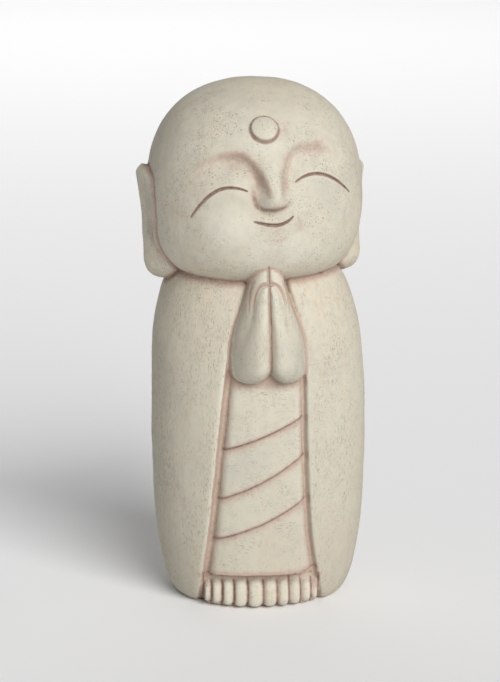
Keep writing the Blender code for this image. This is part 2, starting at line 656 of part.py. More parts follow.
def add_groove(name, points, collection):
    """A cutter along a carved line on the face: a tube that tapers to its ends."""
    curve = bpy.data.curves.new(name, "CURVE")
    curve.dimensions = "3D"
    curve.bevel_depth = LINE_RADIUS
    curve.bevel_resolution = 1
    curve.use_fill_caps = True
    spline = curve.splines.new("POLY")
    spline.points.add(len(points) - 1)
    for k, point in enumerate(points):
        middle_share = math.sin(math.pi * k / (len(points) - 1))
        spline.points[k].co = (*(head_matrix() @ point), 1)
        spline.points[k].radius = LINE_END + (1 - LINE_END) * max(0.0, middle_share) ** LINE_SWELL
    tube = new_object(name, curve, collection)
    bpy.context.view_layer.update()
    mesh = bpy.data.meshes.new_from_object(tube.evaluated_get(bpy.context.evaluated_depsgraph_get()))
    bpy.data.objects.remove(tube)
    bm = bmesh.new()
    bm.from_mesh(mesh)
    bmesh.ops.remove_doubles(bm, verts=bm.verts, dist=MERGE_DISTANCE)
    return new_object(name, mesh_from(bm, name), collection)


def eye_line(side):
    """The closed eye: an arch, low at its outer end."""
    inner, peak, outer = RIGHT_EYE if side > 0 else LEFT_EYE
    peak_height = EYE_PEAK_HEIGHT + (RIGHT_EYE_LIFT if side > 0 else 0.0)
    points = []
    for k in range(EYE_POINTS + 1):
        u = inner + (outer - inner) * k / EYE_POINTS
        if u < peak:
            v = peak_height - EYE_INNER_DROP * ((peak - u) / (peak - inner)) ** 2
        else:
            v = peak_height - EYE_OUTER_DROP * ((u - peak) / (outer - peak)) ** 2
        points.append(face_point(side * u, v, -LINE_SINK))
    return points


def mouth_line():
    """The smile: a shallow arc whose ends turn up."""
    points = []
    for k in range(MOUTH_POINTS + 1):
        share = -1 + 2 * k / MOUTH_POINTS
        v = MOUTH_HEIGHT - MOUTH_SAG * (1 - share * share) * (1 + MOUTH_SKEW * share)
        points.append(face_point(MOUTH_OFFSET + MOUTH_HALF_WIDTH * share, v, -LINE_SINK))
    return points


def add_floor_cut(collection):
    """The cutter that leaves the underside flat at the origin's level."""
    bpy.ops.mesh.primitive_cube_add(size=HEIGHT, location=(0, 0, -HEIGHT / 2))
    block = bpy.context.object
    block.name = "floor_cut"
    for owner in list(block.users_collection):
        owner.objects.unlink(block)
    collection.objects.link(block)
    return block


def join_forms(figure, forms, cutters):
    union = figure.modifiers.new("forms", "BOOLEAN")
    union.operation = "UNION"
    union.operand_type = "COLLECTION"
    union.collection = forms
    cut = figure.modifiers.new("carving", "BOOLEAN")
    cut.operation = "DIFFERENCE"
    cut.operand_type = "COLLECTION"
    cut.collection = cutters


def new_collection(name):
    collection = bpy.data.collections.new(name)
    bpy.context.scene.collection.children.link(collection)
    return collection


def build():
    clear_scene()
    model = new_collection("jizo_figure")
    forms = new_collection("forms")
    cutters = new_collection("cutters")
    figure = add_robe(model)
    add_panel(forms)
    add_head(forms)
    add_nose(forms)
    add_urna(forms)
    add_toes(forms)
    for side in (-1, 1):
        add_ear(side, forms)
        add_hand(side, forms)
        add_thumb(side, forms)
        add_ear_hollow(side, cutters)
        add_groove("eye_groove", eye_line(side), cutters)
    add_groove("mouth_groove", mouth_line(), cutters)
    add_floor_cut(cutters)
    for helper in [*forms.objects, *cutters.objects]:
        helper.hide_render = True
        helper.display_type = "WIRE"
    join_forms(figure, forms, cutters)
    figure.data.materials.append(stone_material())


build()
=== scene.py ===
import math

import bmesh
import bpy
import numpy as np
from mathutils import Matrix, Vector
from mathutils.kdtree import KDTree


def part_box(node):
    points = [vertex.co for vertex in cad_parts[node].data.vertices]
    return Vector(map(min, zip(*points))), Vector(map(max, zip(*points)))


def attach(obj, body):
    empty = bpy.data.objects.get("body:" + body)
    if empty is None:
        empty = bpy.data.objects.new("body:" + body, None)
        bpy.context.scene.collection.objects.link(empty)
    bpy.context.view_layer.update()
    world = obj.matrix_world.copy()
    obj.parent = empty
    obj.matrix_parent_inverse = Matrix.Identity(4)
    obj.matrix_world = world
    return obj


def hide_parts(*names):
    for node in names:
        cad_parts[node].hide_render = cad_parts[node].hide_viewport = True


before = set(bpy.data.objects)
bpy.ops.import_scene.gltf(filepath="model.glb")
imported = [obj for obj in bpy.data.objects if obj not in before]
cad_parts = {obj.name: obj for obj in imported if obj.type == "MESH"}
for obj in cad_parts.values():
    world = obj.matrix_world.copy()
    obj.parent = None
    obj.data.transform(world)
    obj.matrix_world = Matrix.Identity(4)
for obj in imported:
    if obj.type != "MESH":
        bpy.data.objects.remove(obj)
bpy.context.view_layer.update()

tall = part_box("jizo_figure")[1].z  # the figure's height
print("frame loaded, figure", round(tall * 1000), "mm tall")


def sized(**shares):  # sizes of a piece, given as shares of the height
    return {name: np.multiply(share, tall) for name, share in shares.items()}


# small tools for arrays of points

def through(keys, t):  # smooth curve through (t, value) keys, never overshoots them
    xs, ys = np.array(keys, dtype=float).T
    t = np.clip(t, xs[0], xs[-1])
    slopes = np.diff(ys) / np.diff(xs)
    tangents = np.concatenate((slopes[:1], np.zeros(len(xs) - 2), slopes[-1:]))
    sameWay = slopes[:-1] * slopes[1:] > 0
    total = np.where(sameWay, slopes[:-1] + slopes[1:], 1)
    tangents[1:-1] = np.where(sameWay, 2 * slopes[:-1] * slopes[1:] / total, 0)
    i = np.clip(np.searchsorted(xs, t, side="right") - 1, 0, len(xs) - 2)
    span = xs[i + 1] - xs[i]
    s = (t - xs[i]) / span
    start = (1 + 2 * s) * (1 - s) ** 2 * ys[i] + s * (1 - s) ** 2 * span * tangents[i]
    return start + s * s * (3 - 2 * s) * ys[i + 1] + s * s * (s - 1) * span * tangents[i + 1]


def ease(t):  # 0 below 0, 1 above 1, soft between
    t = np.clip(t, 0, 1)
    return t * t * (3 - 2 * t)


def fading(distance, reach):  # 1 at no distance, 0 from the reach on
    return 1 - ease(distance / reach)


def hump(t):  # 1 at 0, gone at 1
    return (1 - np.clip(np.abs(t), 0, 1) ** 2) ** 2


def power(value, exponent):
    return np.sign(value) * np.abs(value) ** exponent


def nearLine(across, up, line):  # distance to a line of points, and the share of the way along it
    line = np.array(line)
    steps = np.diff(line, axis=0)
    best = np.full(len(across), 1e9)
    share = np.zeros(len(across))
    for i, (start, step) in enumerate(zip(line, steps)):
        t = np.clip(((across - start[0]) * step[0] + (up - start[1]) * step[1]) / (step @ step), 0, 1)
        away = np.hypot(across - start[0] - t * step[0], up - start[1] - t * step[1])
        closer = away < best
        best[closer] = away[closer]
        share[closer] = (i + t[closer]) / len(steps)
    return best, share


def rows(*columns):
    return np.stack(columns, axis=1)


def triples(items, name):  # a row of three numbers for each item
    flat = np.empty(len(items) * 3, dtype=np.float32)
    items.foreach_get(name, flat)
    return flat.reshape(-1, 3).astype(float)


def pointsOf(mesh):
    return triples(mesh.vertices, "co")


def normalsOf(mesh):
    return triples(mesh.vertex_normals, "vector")


def edgeEnds(mesh):
    flat = np.empty(len(mesh.edges) * 2, dtype=np.int32)
    mesh.edges.foreach_get("vertices", flat)
    return flat.reshape(-1, 2)


def movePoints(mesh, points):
    mesh.vertices.foreach_set("co", points.astype(np.float32).ravel())
    mesh.update()


def intoWorld(points, matrix):
    matrix = np.array(matrix)
    return points @ matrix[:3, :3].T + matrix[:3, 3]


def meshFrom(bm, name):
    mesh = bpy.data.meshes.new(name)
    bmesh.ops.recalc_face_normals(bm, faces=bm.faces)
    bm.to_mesh(mesh)
    bm.free()
    return mesh


def addObject(name, data):
    item = bpy.data.objects.new(name, data)
    bpy.context.scene.collection.objects.link(item)
    return item


def applied(item):  # a copy of its mesh with the modifiers applied
    bpy.context.view_layer.update()
    return bpy.data.meshes.new_from_object(item.evaluated_get(bpy.context.evaluated_depsgraph_get()))


def unitTube(columns, levels, name):  # closed tube of radius 1 from 0 to 1, to be shaped
    bm = bmesh.new()
    lift = Matrix.Translation((0, 0, 0.5))
    bmesh.ops.create_cone(bm, cap_ends=True, segments=columns, radius1=1, radius2=1, depth=1, matrix=lift)
    sides = [e for e in bm.edges if abs(e.verts[0].co.z - e.verts[1].co.z) > 0.5]
    bmesh.ops.subdivide_edges(bm, edges=sides, cuts=levels - 1, use_grid_fill=True)
    return meshFrom(bm, name)


def tubeParts(mesh):  # angle off the front and share of the way up of each point of a unit tube
    points = pointsOf(mesh)
    return np.arctan2(points[:, 0], -points[:, 1]), np.clip(points[:, 2], 0, 1)


def unitBall(segments, rings, name):
    bm = bmesh.new()
    bmesh.ops.create_uvsphere(bm, u_segments=segments, v_segments=rings, radius=1)
    return meshFrom(bm, name)


# robe: a barrel of rounded ovals, open down the front between two rolled lips

robe = {
    **sized(
        halfWidth=0.2067, top=0.674, lean=0.0085, lipRounding=0.011, lipDepth=0.0165,
        leftGroove=0.011, rightGroove=0.0085,
    ),
    "depthRatio": 0.84, "squareness": 2.25,
    "leans": ((0.6, 0), (0.85, 0.6), (1, 1)),
    "belowFloor": 0.015,  # share of its height, cut off for the flat underside
    "profile": (
        (-0.02, 0.66), (0, 0.76), (0.02, 0.825), (0.05, 0.868), (0.1, 0.91), (0.21, 0.965), (0.32, 0.988),
        (0.47, 1), (0.62, 0.992), (0.73, 0.975), (0.8, 0.945), (0.86, 0.9), (0.91, 0.845), (0.96, 0.745),
        (1, 0.6),
    ),
    "leftLip": (
        (-0.02, 0.615), (0.06, 0.587), (0.25, 0.515), (0.5, 0.435), (0.68, 0.372), (0.76, 0.335), (0.9, 0.19),
        (1, 0.06),
    ),
    "rightLip": (
        (-0.02, 0.56), (0.06, 0.503), (0.25, 0.406), (0.5, 0.366), (0.68, 0.355), (0.76, 0.34), (0.9, 0.23),
        (1, 0.12),
    ),
    "lipRoll": ((-1, 0), (-0.35, 0.1), (0, 0.4), (0.25, 0.8), (0.5, 1)),
    "fineness": (520, 270),
}

underRobe = {
    **sized(
        hem=0.066, hemCurl=0.011, top=0.5, sink=0.0085, edgeRounding=0.014, foldStep=0.0085,
        foldWall=0.0035, foldLeft=(0.319, 0.2225, 0.1425), foldRise=(0.061, 0.0845, 0.079),
    ),
    "curlStart": 0.8, "curlLength": 0.2, "skinDepth": 0.0028, "foldSwell": 1.5,
    "foldStraight": (0.7, 0.62, 0.55),
}


def robeHalf(z):
    return robe["halfWidth"] * through(robe["profile"], z / robe["top"])


def robeMiddle(z):
    return -robe["lean"] * through(robe["leans"], z / robe["top"])


def robeFront(x, z):  # the front surface as if it had no opening
    across = np.clip(np.abs(x - robeMiddle(z)) / robeHalf(z), 0, 1)
    return -robe["depthRatio"] * robeHalf(z) * (1 - across ** robe["squareness"]) ** (1 / robe["squareness"])


def lipPlaces(z):
    left = -robe["halfWidth"] * through(robe["leftLip"], z / robe["top"])
    return left, robe["halfWidth"] * through(robe["rightLip"], z / robe["top"])


def panelShare(x, z):  # share of the way across the under-robe, and the distance inside its nearer edge
    left, right = lipPlaces(z)
    left = left + robe["leftGroove"]
    right = right - robe["rightGroove"]
    return np.clip((x - left) / (right - left), 0, 1), np.minimum(x - left, right - x)


def hemHeight(share):
    curl = ease((share - underRobe["curlStart"]) / underRobe["curlLength"]) ** 2
    return underRobe["hem"] + underRobe["hemCurl"] * curl


def foldHeights(share):  # the folds' lower edges, top down
    folds = zip(underRobe["foldLeft"], underRobe["foldRise"], underRobe["foldStraight"])
    return [left + up * (straight * share + (1 - straight) * share * share) for left, up, straight in folds]


def foldProud(share, z):
    edges = [np.full_like(share, underRobe["top"]), *foldHeights(share), hemHeight(share)]
    proud = np.zeros_like(share)
    for upper, lower in zip(edges, edges[1:]):
        down = np.clip((upper - z) / (upper - lower), 0, 1) ** underRobe["foldSwell"]
        wall = fading(lower - z, underRobe["foldWall"])  # the step down to the band below
        proud = np.maximum(proud, underRobe["foldStep"] * np.where(z > lower, down, wall))
    return proud


def openingSink(x, z):
    left, right = lipPlaces(z)
    roll = through(robe["lipRoll"], (x - left) / robe["lipRounding"])
    roll = roll * through(robe["lipRoll"], (right - x) / robe["lipRounding"])
    share, inside = panelShare(x, z)
    crown = np.sqrt(1 - (1 - np.clip(inside / underRobe["edgeRounding"], 0, 1)) ** 2)
    raised = (robe["lipDepth"] - underRobe["sink"] + foldProud(share, z)) * crown
    raised = np.where((z > hemHeight(share)) & (z < underRobe["top"]) & (inside > 0), raised, 0)
    return robe["lipDepth"] * roll - raised


def makeRobe():
    mesh = unitTube(*robe["fineness"], "robe")
    angle, along = tubeParts(mesh)
    z = robe["top"] * ((1 + robe["belowFloor"]) * along - robe["belowFloor"])
    half = robeHalf(z)
    bend = 2 / robe["squareness"]
    x = robeMiddle(z) + half * power(np.sin(angle), bend)
    y = -robe["depthRatio"] * half * power(np.cos(angle), bend)
    left, right = lipPlaces(z)
    front = (y < 0) & (x > left - robe["lipRounding"]) & (x < right + robe["lipRounding"])
    y = np.where(front, robeFront(x, z) + openingSink(x, z), y)
    movePoints(mesh, rows(x, y, z))
    print("robe shaped")
    return mesh


# head and face

head = {
    **sized(
        halfWidth=0.2022, halfDepth=0.195, crownRise=0.208, jawDrop=0.175, neckHalf=0.006,
        neckDepth=0.0016,
    ),
    "squareness": 2.2, "crownSquareness": 2.3, "jawSquareness": 3.1, "turn": math.radians(5.8),
    "lean": math.radians(0.5), "faceLean": math.radians(5.8), "frontCrowding": 0.62,
    "middleCrowding": 0.25, "fineness": (400, 280),
}
head["place"] = (
    Matrix.Translation((-0.009 * tall, -0.011 * tall, tall - head["crownRise"]))
    @ Matrix.Rotation(head["turn"], 4, "Z") @ Matrix.Rotation(-head["lean"], 4, "Y")
)

face = {
    **sized(
        rightEye=(0.048, 0.083, 0.1495),  # inner end, peak, outer end
        leftEye=(0.0425, 0.0745, 0.1515), eyeHeight=0.035, eyeInnerDrop=0.01, eyeOuterDrop=0.05,
        leftEyeLift=0.0042, eyeHalfLine=0.0037, eyeDepth=0.0048, mouthHalf=0.0365,
        mouthHeight=-0.0315, mouthOff=-0.0065, mouthSag=0.0115, mouthHalfLine=0.0042,
        mouthDepth=0.005, browOut=0.07, browHeight=0.1, browInnerDrop=0.103, rightBrowDrop=0.022,
        leftBrowDrop=0.034, browEdge=0.022, socketEnd=0.14, socketFoot=0.02, socketFade=0.055,
        socketDepth=0.0138, cheekOut=0.1, cheekHeight=-0.045, cheekSpread=0.062, cheekSwell=0.005,
        noseTop=0.09, noseFoot=-0.0045, noseOff=-0.003, noseHalf=0.0305, noseRelief=0.0265,
        urnaHeight=0.13, urnaRadius=0.0265, urnaRelief=0.0105, urnaGroove=0.003,
        urnaGrooveDepth=0.0014,
    ),
    "mouthSkew": 0.4,  # the low point lies a little to the figure's left
    "browBend": 3.2,
    "noseWidths": ((-0.1, 0.5), (-0.04, 0.86), (0.02, 0.97), (0.12, 1), (0.3, 0.88), (0.55, 0.7), (1, 0.7)),
    "noseReliefs": (
        (-0.11, 0), (-0.07, 0.55), (0, 0.94), (0.1, 1), (0.3, 0.78), (0.55, 0.5), (0.8, 0.24), (1.1, 0),
    ),
    "noseSection": ((0, 1), (0.3, 0.93), (0.55, 0.72), (0.8, 0.34), (1.05, 0.08), (1.35, 0)),
    "noseCrease": (  # round its foot, in shares of its half width and length
        (-1.12, 0.4), (-1.16, 0.2), (-1.05, 0.02), (-0.75, -0.075), (0, -0.1), (0.75, -0.075), (1.02, 0),
    ),
    "urnaFineness": (96, 48),
}


def crownOrJaw(z):
    rise = np.where(z > 0, head["crownRise"], head["jawDrop"])
    return rise, np.where(z > 0, head["crownSquareness"], head["jawSquareness"])


def headLevel(z):  # how full the head is at a height
    rise, bend = crownOrJaw(z)
    return np.clip(1 - np.abs(z / rise) ** bend, 0, 1) ** (head["squareness"] / bend)


def headFront(x, z):
    depth = np.clip(headLevel(z) - np.abs(x / head["halfWidth"]) ** head["squareness"], 0, 1)
    return -head["halfDepth"] * depth ** (1 / head["squareness"])


def headSide(y, z):
    width = np.clip(headLevel(z) - np.abs(y / head["halfDepth"]) ** head["squareness"], 0, 1)
    return head["halfWidth"] * width ** (1 / head["squareness"])


def faceCoordinates(x, z):  # beside and above the face's middle, which leans a little
    cos, sin = math.cos(head["faceLean"]), math.sin(head["faceLean"])
    return x * cos + z * sin, z * cos - x * sin


def noseProud(u, v):
    along = (v - face["noseFoot"]) / (face["noseTop"] - face["noseFoot"])
    across = np.abs(u - face["noseOff"]) / (face["noseHalf"] * through(face["noseWidths"], along))
    return face["noseRelief"] * through(face["noseReliefs"], along) * through(face["noseSection"], across)


def belowBrow(u, v):  # distance below the ridge of the brow, which runs down the side of the nose
    side = np.abs(u)
    inner = side < face["browOut"]
    outerDrop = np.where(u > 0, face["leftBrowDrop"], face["rightBrowDrop"])
    drop = np.where(inner, face["browInnerDrop"], outerDrop)
    bend = np.where(inner, face["browBend"], 2)
    off = np.abs(1 - side / face["browOut"])
    slope = np.hypot(1, bend * drop * off ** (bend - 1) / face["browOut"])
    return (face["browHeight"] - drop * off ** bend - v) / slope


def faceRelief(x, z):
    u, v = faceCoordinates(x, z)
    side = np.abs(u)
    below = belowBrow(u, v)
    foot = face["socketFoot"] * through(((0.3 * face["browOut"], -0.6), (face["browOut"], 1)), side)
    socket = ease(below / face["browEdge"]) * ease((v - foot) / face["socketFade"])
    socket = socket * through(((0, 1), (face["browOut"], 0.9), (face["socketEnd"], 0)), side)
    cheek = np.hypot(side - face["cheekOut"], v - face["cheekHeight"]) / face["cheekSpread"]
    return face["cheekSwell"] * hump(cheek) - face["socketDepth"] * socket + noseProud(u, v)


def headSurface(direction):
    up = direction[:, 2]
    rise, bend = crownOrJaw(up)
    across = np.abs(direction[:, 0] / head["halfWidth"]) ** head["squareness"]
    across = across + np.abs(direction[:, 1] / head["halfDepth"]) ** head["squareness"]
    reach = across ** (bend / head["squareness"]) + np.abs(up / rise) ** bend
    return direction / (reach ** (1 / bend))[:, None]


def crowded(direction):  # columns crowd to the front and rows to the middle, for the face
    around = np.arctan2(direction[:, 0], -direction[:, 1])
    around = around - head["frontCrowding"] * np.sin(around)
    above = np.arcsin(np.clip(direction[:, 2], -1, 1))
    above = above - head["middleCrowding"] * np.sin(2 * above)
    level = np.cos(above)
    return rows(level * np.sin(around), -level * np.cos(around), np.sin(above))


def makeHead():
    mesh = unitBall(*head["fineness"], "head")
    points = headSurface(crowded(pointsOf(mesh)))
    front = points[:, 1] < 0
    points[front, 1] -= faceRelief(points[front, 0], points[front, 2])
    movePoints(mesh, intoWorld(points, head["place"]))
    print("head shaped")
    return mesh


def facePoint(u, v):  # a point of the face's surface, in the head's own frame
    cos, sin = math.cos(head["faceLean"]), math.sin(head["faceLean"])
    x, z = u * cos - v * sin, v * cos + u * sin
    return Vector((x, float(headFront(x, z) - faceRelief(x, z)), z))


def urnaPlace():  # matrix that sets a flat thing on the forehead
    middle = facePoint(0, face["urnaHeight"])
    above = facePoint(0, face["urnaHeight"] + face["urnaRadius"])
    beside = facePoint(face["urnaRadius"], face["urnaHeight"])
    outward = (beside - middle).cross(above - middle).normalized()
    return head["place"] @ Matrix.Translation(middle) @ outward.to_track_quat("Z", "Y").to_matrix().to_4x4()


def makeUrna():
    mesh = unitBall(*face["urnaFineness"], "urna")
    size = Matrix.Diagonal((face["urnaRadius"], face["urnaRadius"], face["urnaRelief"], 1))
    movePoints(mesh, intoWorld(pointsOf(mesh), urnaPlace() @ size))
    return mesh


# ears: long plates with heavy lobes, hollow on their outer face, their rear edge off the head

ear = {
    **sized(
        top=0.0465, foot=-0.1705, reach=0.221, lobeReach=0.2095, halfWidth=0.047,
        halfThickness=0.015, back=0.047, lobeBack=0.026, rounding=0.03,
        stand=0.003,  # how far the face of the ear stands off the side of the head at least
        hollowMiddle=(0.001, -0.033), hollowSize=(0.034, 0.07), hollowDepth=0.009,
        hollowInset=0.003, seamHalf=0.0045, seamDepth=0.002,
    ),
    "splay": math.radians(15), "lobeSplay": math.radians(46), "squareness": 2.3, "standFade": 0.07,
    "hollowBend": 0.75,
    "widths": ((0, 0.3), (0.05, 0.62), (0.15, 0.9), (0.4, 0.86), (0.7, 0.95), (0.9, 0.9), (1, 0.45)),
    "thicknesses": ((0, 0.4), (0.06, 1.15), (0.16, 1.6), (0.3, 1.25), (0.5, 0.85), (0.9, 0.9), (1, 0.4)),
    "reaches": ((0, 0), (0.45, 0.1), (1, 1)),
    "splays": ((0, 0), (0.2, 0.1), (0.6, 1)),
    "ends": ((0, 1), (0.03, 0.5), (0.09, 0.15), (0.18, 0), (0.93, 0), (1, 0.4)),
    "fineness": (96, 130),
}


def makeEar(side):
    mesh = unitTube(*ear["fineness"], "ear")
    angle, along = tubeParts(mesh)
    along = 0.5 - 0.5 * np.cos(math.pi * along)
    halfWidth = ear["halfWidth"] * through(ear["widths"], along)
    halfThickness = ear["halfThickness"] * through(ear["thicknesses"], along)
    reach = ear["lobeReach"] + (ear["reach"] - ear["lobeReach"]) * through(ear["reaches"], along)
    reach = reach - ear["rounding"] * through(ear["ends"], along)
    splay = ear["lobeSplay"] + (ear["splay"] - ear["lobeSplay"]) * through(ear["splays"], along)
    bend = 2 / ear["squareness"]
    outward, across = side * power(np.sin(angle), bend), -power(np.cos(angle), bend)
    thick, wide = halfThickness * outward, halfWidth * across
    x = reach - np.hypot(halfWidth * np.sin(splay), halfThickness * np.cos(splay))
    x = x + thick * np.cos(splay) + wide * np.sin(splay)
    y = ear["lobeBack"] + (ear["back"] - ear["lobeBack"]) * along - halfWidth * np.cos(splay)
    y = y - thick * np.sin(splay) + wide * np.cos(splay)
    z = ear["foot"] + (ear["top"] - ear["foot"]) * along
    stand = ear["stand"] * np.sqrt(1 - across ** 4) * ease((1 - along) / ear["standFade"])
    x = side * np.where(outward > 0, np.maximum(x, headSide(y, z) + stand), x)
    movePoints(mesh, intoWorld(rows(x, y, z), head["place"]))
    return mesh


def earHollow(points):  # depth of the hollow inside the rim of each ear
    local = intoWorld(points, head["place"].inverted())
    back, up = ear["hollowMiddle"]
    halfBack, halfUp = ear["hollowSize"]
    away = np.hypot((local[:, 1] - back) / halfBack, (local[:, 2] - up) / halfUp)
    outside = np.abs(local[:, 0]) > headSide(local[:, 1], local[:, 2]) - ear["hollowInset"]
    return ear["hollowDepth"] * hump(away) ** ear["hollowBend"] * outside


# joined hands: a finger form and a thumb form on each side of the cleft

hands = {
    **sized(
        offset=0.005,
        lean=0.004,  # the finger tips stand a little to the figure's right
        foot=0.447, rise=0.2165,
        rightHalf=0.0755,  # the figure's own right hand, nearer the camera
        leftHalf=0.069, standOff=0.034, back=-0.11, overlap=0.004,
        relaxBelow=0.585, relaxFade=0.03, archHalf=0.0032, archDepth=0.0028, fingerHalf=0.0024,
        fingerDepth=0.0014, cleftHalf=0.0027, cleftDepth=0.0018,
    ),
    "tilt": 0.35,  # each hand's front falls away from the cleft
    "tiltStart": 0.2, "upperLoss": 0.25, "squareness": 2.6,
    "outline": (
        (0, 0.7), (0.03, 0.91), (0.08, 1), (0.172, 1.025), (0.336, 0.985), (0.47, 0.885), (0.595, 0.745),
        (0.72, 0.61), (0.836, 0.5), (0.93, 0.395), (0.975, 0.33), (0.992, 0.28), (1, 0.23),
    ),
    "inner": ((0, 0.4), (0.025, 0.22), (0.06, 0.1), (0.12, 0.02), (0.17, 0), (0.985, 0), (1, 0.03)),
    "bulge": ((0, 0.55), (0.04, 0.82), (0.12, 0.98), (0.3, 1), (0.7, 0.76), (0.97, 0.5), (1, 0.4)),
    "relief": 0, "share": 1, "relaxRounds": 14,
    "arch": (  # share along, and places across and up as shares of the figure's height
        (0, 0.001, 0.6335), (0.15, 0.0085, 0.6365), (0.3, 0.016, 0.633), (0.5, 0.0235, 0.6225),
        (0.7, 0.029, 0.606), (1, 0.035, 0.566),
    ),
    "finger": (
        (0, 0.024, 0.642), (0.25, 0.0315, 0.63), (0.5, 0.0355, 0.6145), (0.75, 0.0375, 0.597),
        (1, 0.0385, 0.578),
    ),
    "fineness": (84, 100),
}

thumb = {
    "outline": (
        (0, 0.55), (0.06, 0.84), (0.18, 0.97), (0.35, 0.93), (0.48, 0.78), (0.6, 0.6), (0.72, 0.5),
        (0.86, 0.41), (0.95, 0.28), (1, 0.12),
    ),
    "inner": ((0, 0.36), (0.03, 0.2), (0.08, 0.09), (0.16, 0), (1, 0)),
    "bulge": ((0, 0.1), (0.08, 0.3), (0.2, 0.5), (0.4, 0.75), (0.6, 1), (0.85, 0.85), (1, 0.5)),
    "relief": 0.009 * tall,
    "share": 0.87,  # of the hand's height
    "squareness": 2.3,
}


def handsMiddle(z):
    return hands["offset"] - hands["lean"] * ease((z - hands["foot"]) / hands["rise"])


def handHalf(side):
    return np.where(side > 0, hands["leftHalf"], hands["rightHalf"])


def makeHandForm(side, name, form):
    mesh = unitTube(*hands["fineness"], name)
    angle, along = tubeParts(mesh)
    along = 0.5 - 0.5 * np.cos(math.pi * along)
    z = hands["foot"] + hands["rise"] * form["share"] * along
    outer = handHalf(side) * through(form["outline"], along)
    near = handHalf(side) * through(form["inner"], along) - hands["overlap"]
    half = (outer - near) / 2
    rest = robeFront(hands["offset"], hands["foot"])
    upward = (z - hands["foot"]) / hands["rise"]
    front = rest - hands["standOff"] * (through(hands["bulge"], upward) - hands["upperLoss"] * upward)
    front = front - form["relief"] * through(form["bulge"], along)
    bend = 2 / form["squareness"]
    off = near + half + side * half * power(np.sin(angle), bend)
    depth = (hands["back"] - front) / 2
    y = (front + hands["back"]) / 2 - depth * power(np.cos(angle), bend)
    y = y + hands["tilt"] * np.maximum(off - hands["tiltStart"] * outer, 0) * (np.cos(angle) > 0)
    movePoints(mesh, rows(handsMiddle(z) + side * off, y, z))
    return mesh


def cleftLine():
    z = np.linspace(hands["foot"] + 0.09 * hands["rise"], hands["foot"] + 1.01 * hands["rise"], 12)
    return rows(handsMiddle(z), z)


def handLine(side, keys, count):  # the arch over a thumb, or the finger's edge outside it
    keys = np.array(keys)
    t = np.linspace(0, 1, count)
    z = tall * through(keys[:, (0, 2)], t)
    return rows(handsMiddle(z) + side * tall * through(keys[:, :2], t), z)


def handEdge(side):
    along = np.linspace(0.02, 0.96, 24)
    off = handHalf(side) * through(hands["outline"], along)
    z = hands["foot"] + hands["rise"] * along
    return rows(handsMiddle(z) + side * off, z)


# toes: five on each foot along a shallow arc

toes = {
    **sized(
        between=-0.0056,
        rightFoot=(0.0149, 0.0128, 0.0109, 0.01, 0.0073),  # half widths, big toe first
        leftFoot=(0.0134, 0.0115, 0.0115, 0.0105, 0.0073), halfHeight=0.0287,
        shorter=0.006,  # how much the outermost toe's half height falls short
        middle=0.0292, halfLength=0.03, reach=0.1625, arc=0.035, halfRow=0.11, root=0.054,
    ),
    "overlap": 1.14, "squareness": 2.8, "fineness": (48, 32),
}
pad = {  # the feet behind the toes, under the hem
    "halfWidth": 0.96 * toes["halfRow"],
    "halfLength": 0.24 * toes["reach"],
    "halfHeight": 1.1 * underRobe["hem"],
    "front": -0.6 * toes["reach"],
    "fineness": (96, 32),
}


def toePlaces():  # the middle and half width of each toe, and the places of the gaps between them
    places, gaps = [], [toes["between"]]
    for side, widths in ((-1, toes["rightFoot"]), (1, toes["leftFoot"])):
        x = toes["between"]
        for half in widths:
            places.append((x + side * half, half))
            x += side * 2 * half
            gaps.append(x)
    return places, gaps


def makeToes():
    made = []
    for x, half in toePlaces()[0]:
        mesh = unitBall(*toes["fineness"], "toe")
        ball = pointsOf(mesh)
        reach = (np.abs(ball) ** toes["squareness"]).sum(axis=1, keepdims=True)
        ball = ball / reach ** (1 / toes["squareness"])
        off = (x - toes["between"]) / toes["halfRow"]
        halfHeight = toes["halfHeight"] - toes["shorter"] * off * off
        size = np.array((toes["overlap"] * half, toes["halfLength"], halfHeight))
        place = np.array((x, -(toes["reach"] - toes["halfLength"] - toes["arc"] * off * off), toes["middle"]))
        movePoints(mesh, ball * size + place)
        made.append(mesh)
    feet = unitBall(*pad["fineness"], "feet")
    size = np.array((pad["halfWidth"], pad["halfLength"], pad["halfHeight"]))
    movePoints(feet, pointsOf(feet) * size + np.array((toes["between"], pad["front"], 0)))
    return [*made, feet]


# one casting: the forms are fused to one skin, then carved

skin = {
    "voxel": 0.00085, "smoothRounds": 2,
    "fineRounds": 4,  # smoothing that shows the fine hollows, and the broad ones
    "broadRounds": 40,
    "waves": ((0.00012, 0.022, 24, 3), (0.00005, 0.006, 24, 5)),  # height, length, how many, seed
    "triangles": 190000,
}


def fuse(meshes):
    bm = bmesh.new()
    for mesh in meshes:
        bm.from_mesh(mesh)
    block = addObject("block", meshFrom(bm, "block"))
    remesh = block.modifiers.new("oneSkin", "REMESH")
    remesh.mode = "VOXEL"
    remesh.voxel_size = skin["voxel"]
    mesh = applied(block)
    bpy.data.objects.remove(block)
    print("fused skin", len(mesh.polygons), "faces")
    return mesh


def cutFlat(mesh):  # the flat underside
    bm = bmesh.new()
    bm.from_mesh(mesh)
    everything = bm.verts[:] + bm.edges[:] + bm.faces[:]
    bmesh.ops.bisect_plane(
        bm, geom=everything, dist=1e-6, plane_co=(0, 0, 0), plane_no=(0, 0, 1), clear_inner=True
    )
    bmesh.ops.holes_fill(bm, edges=[e for e in bm.edges if e.is_boundary])
    bm.to_mesh(mesh)
    bm.free()


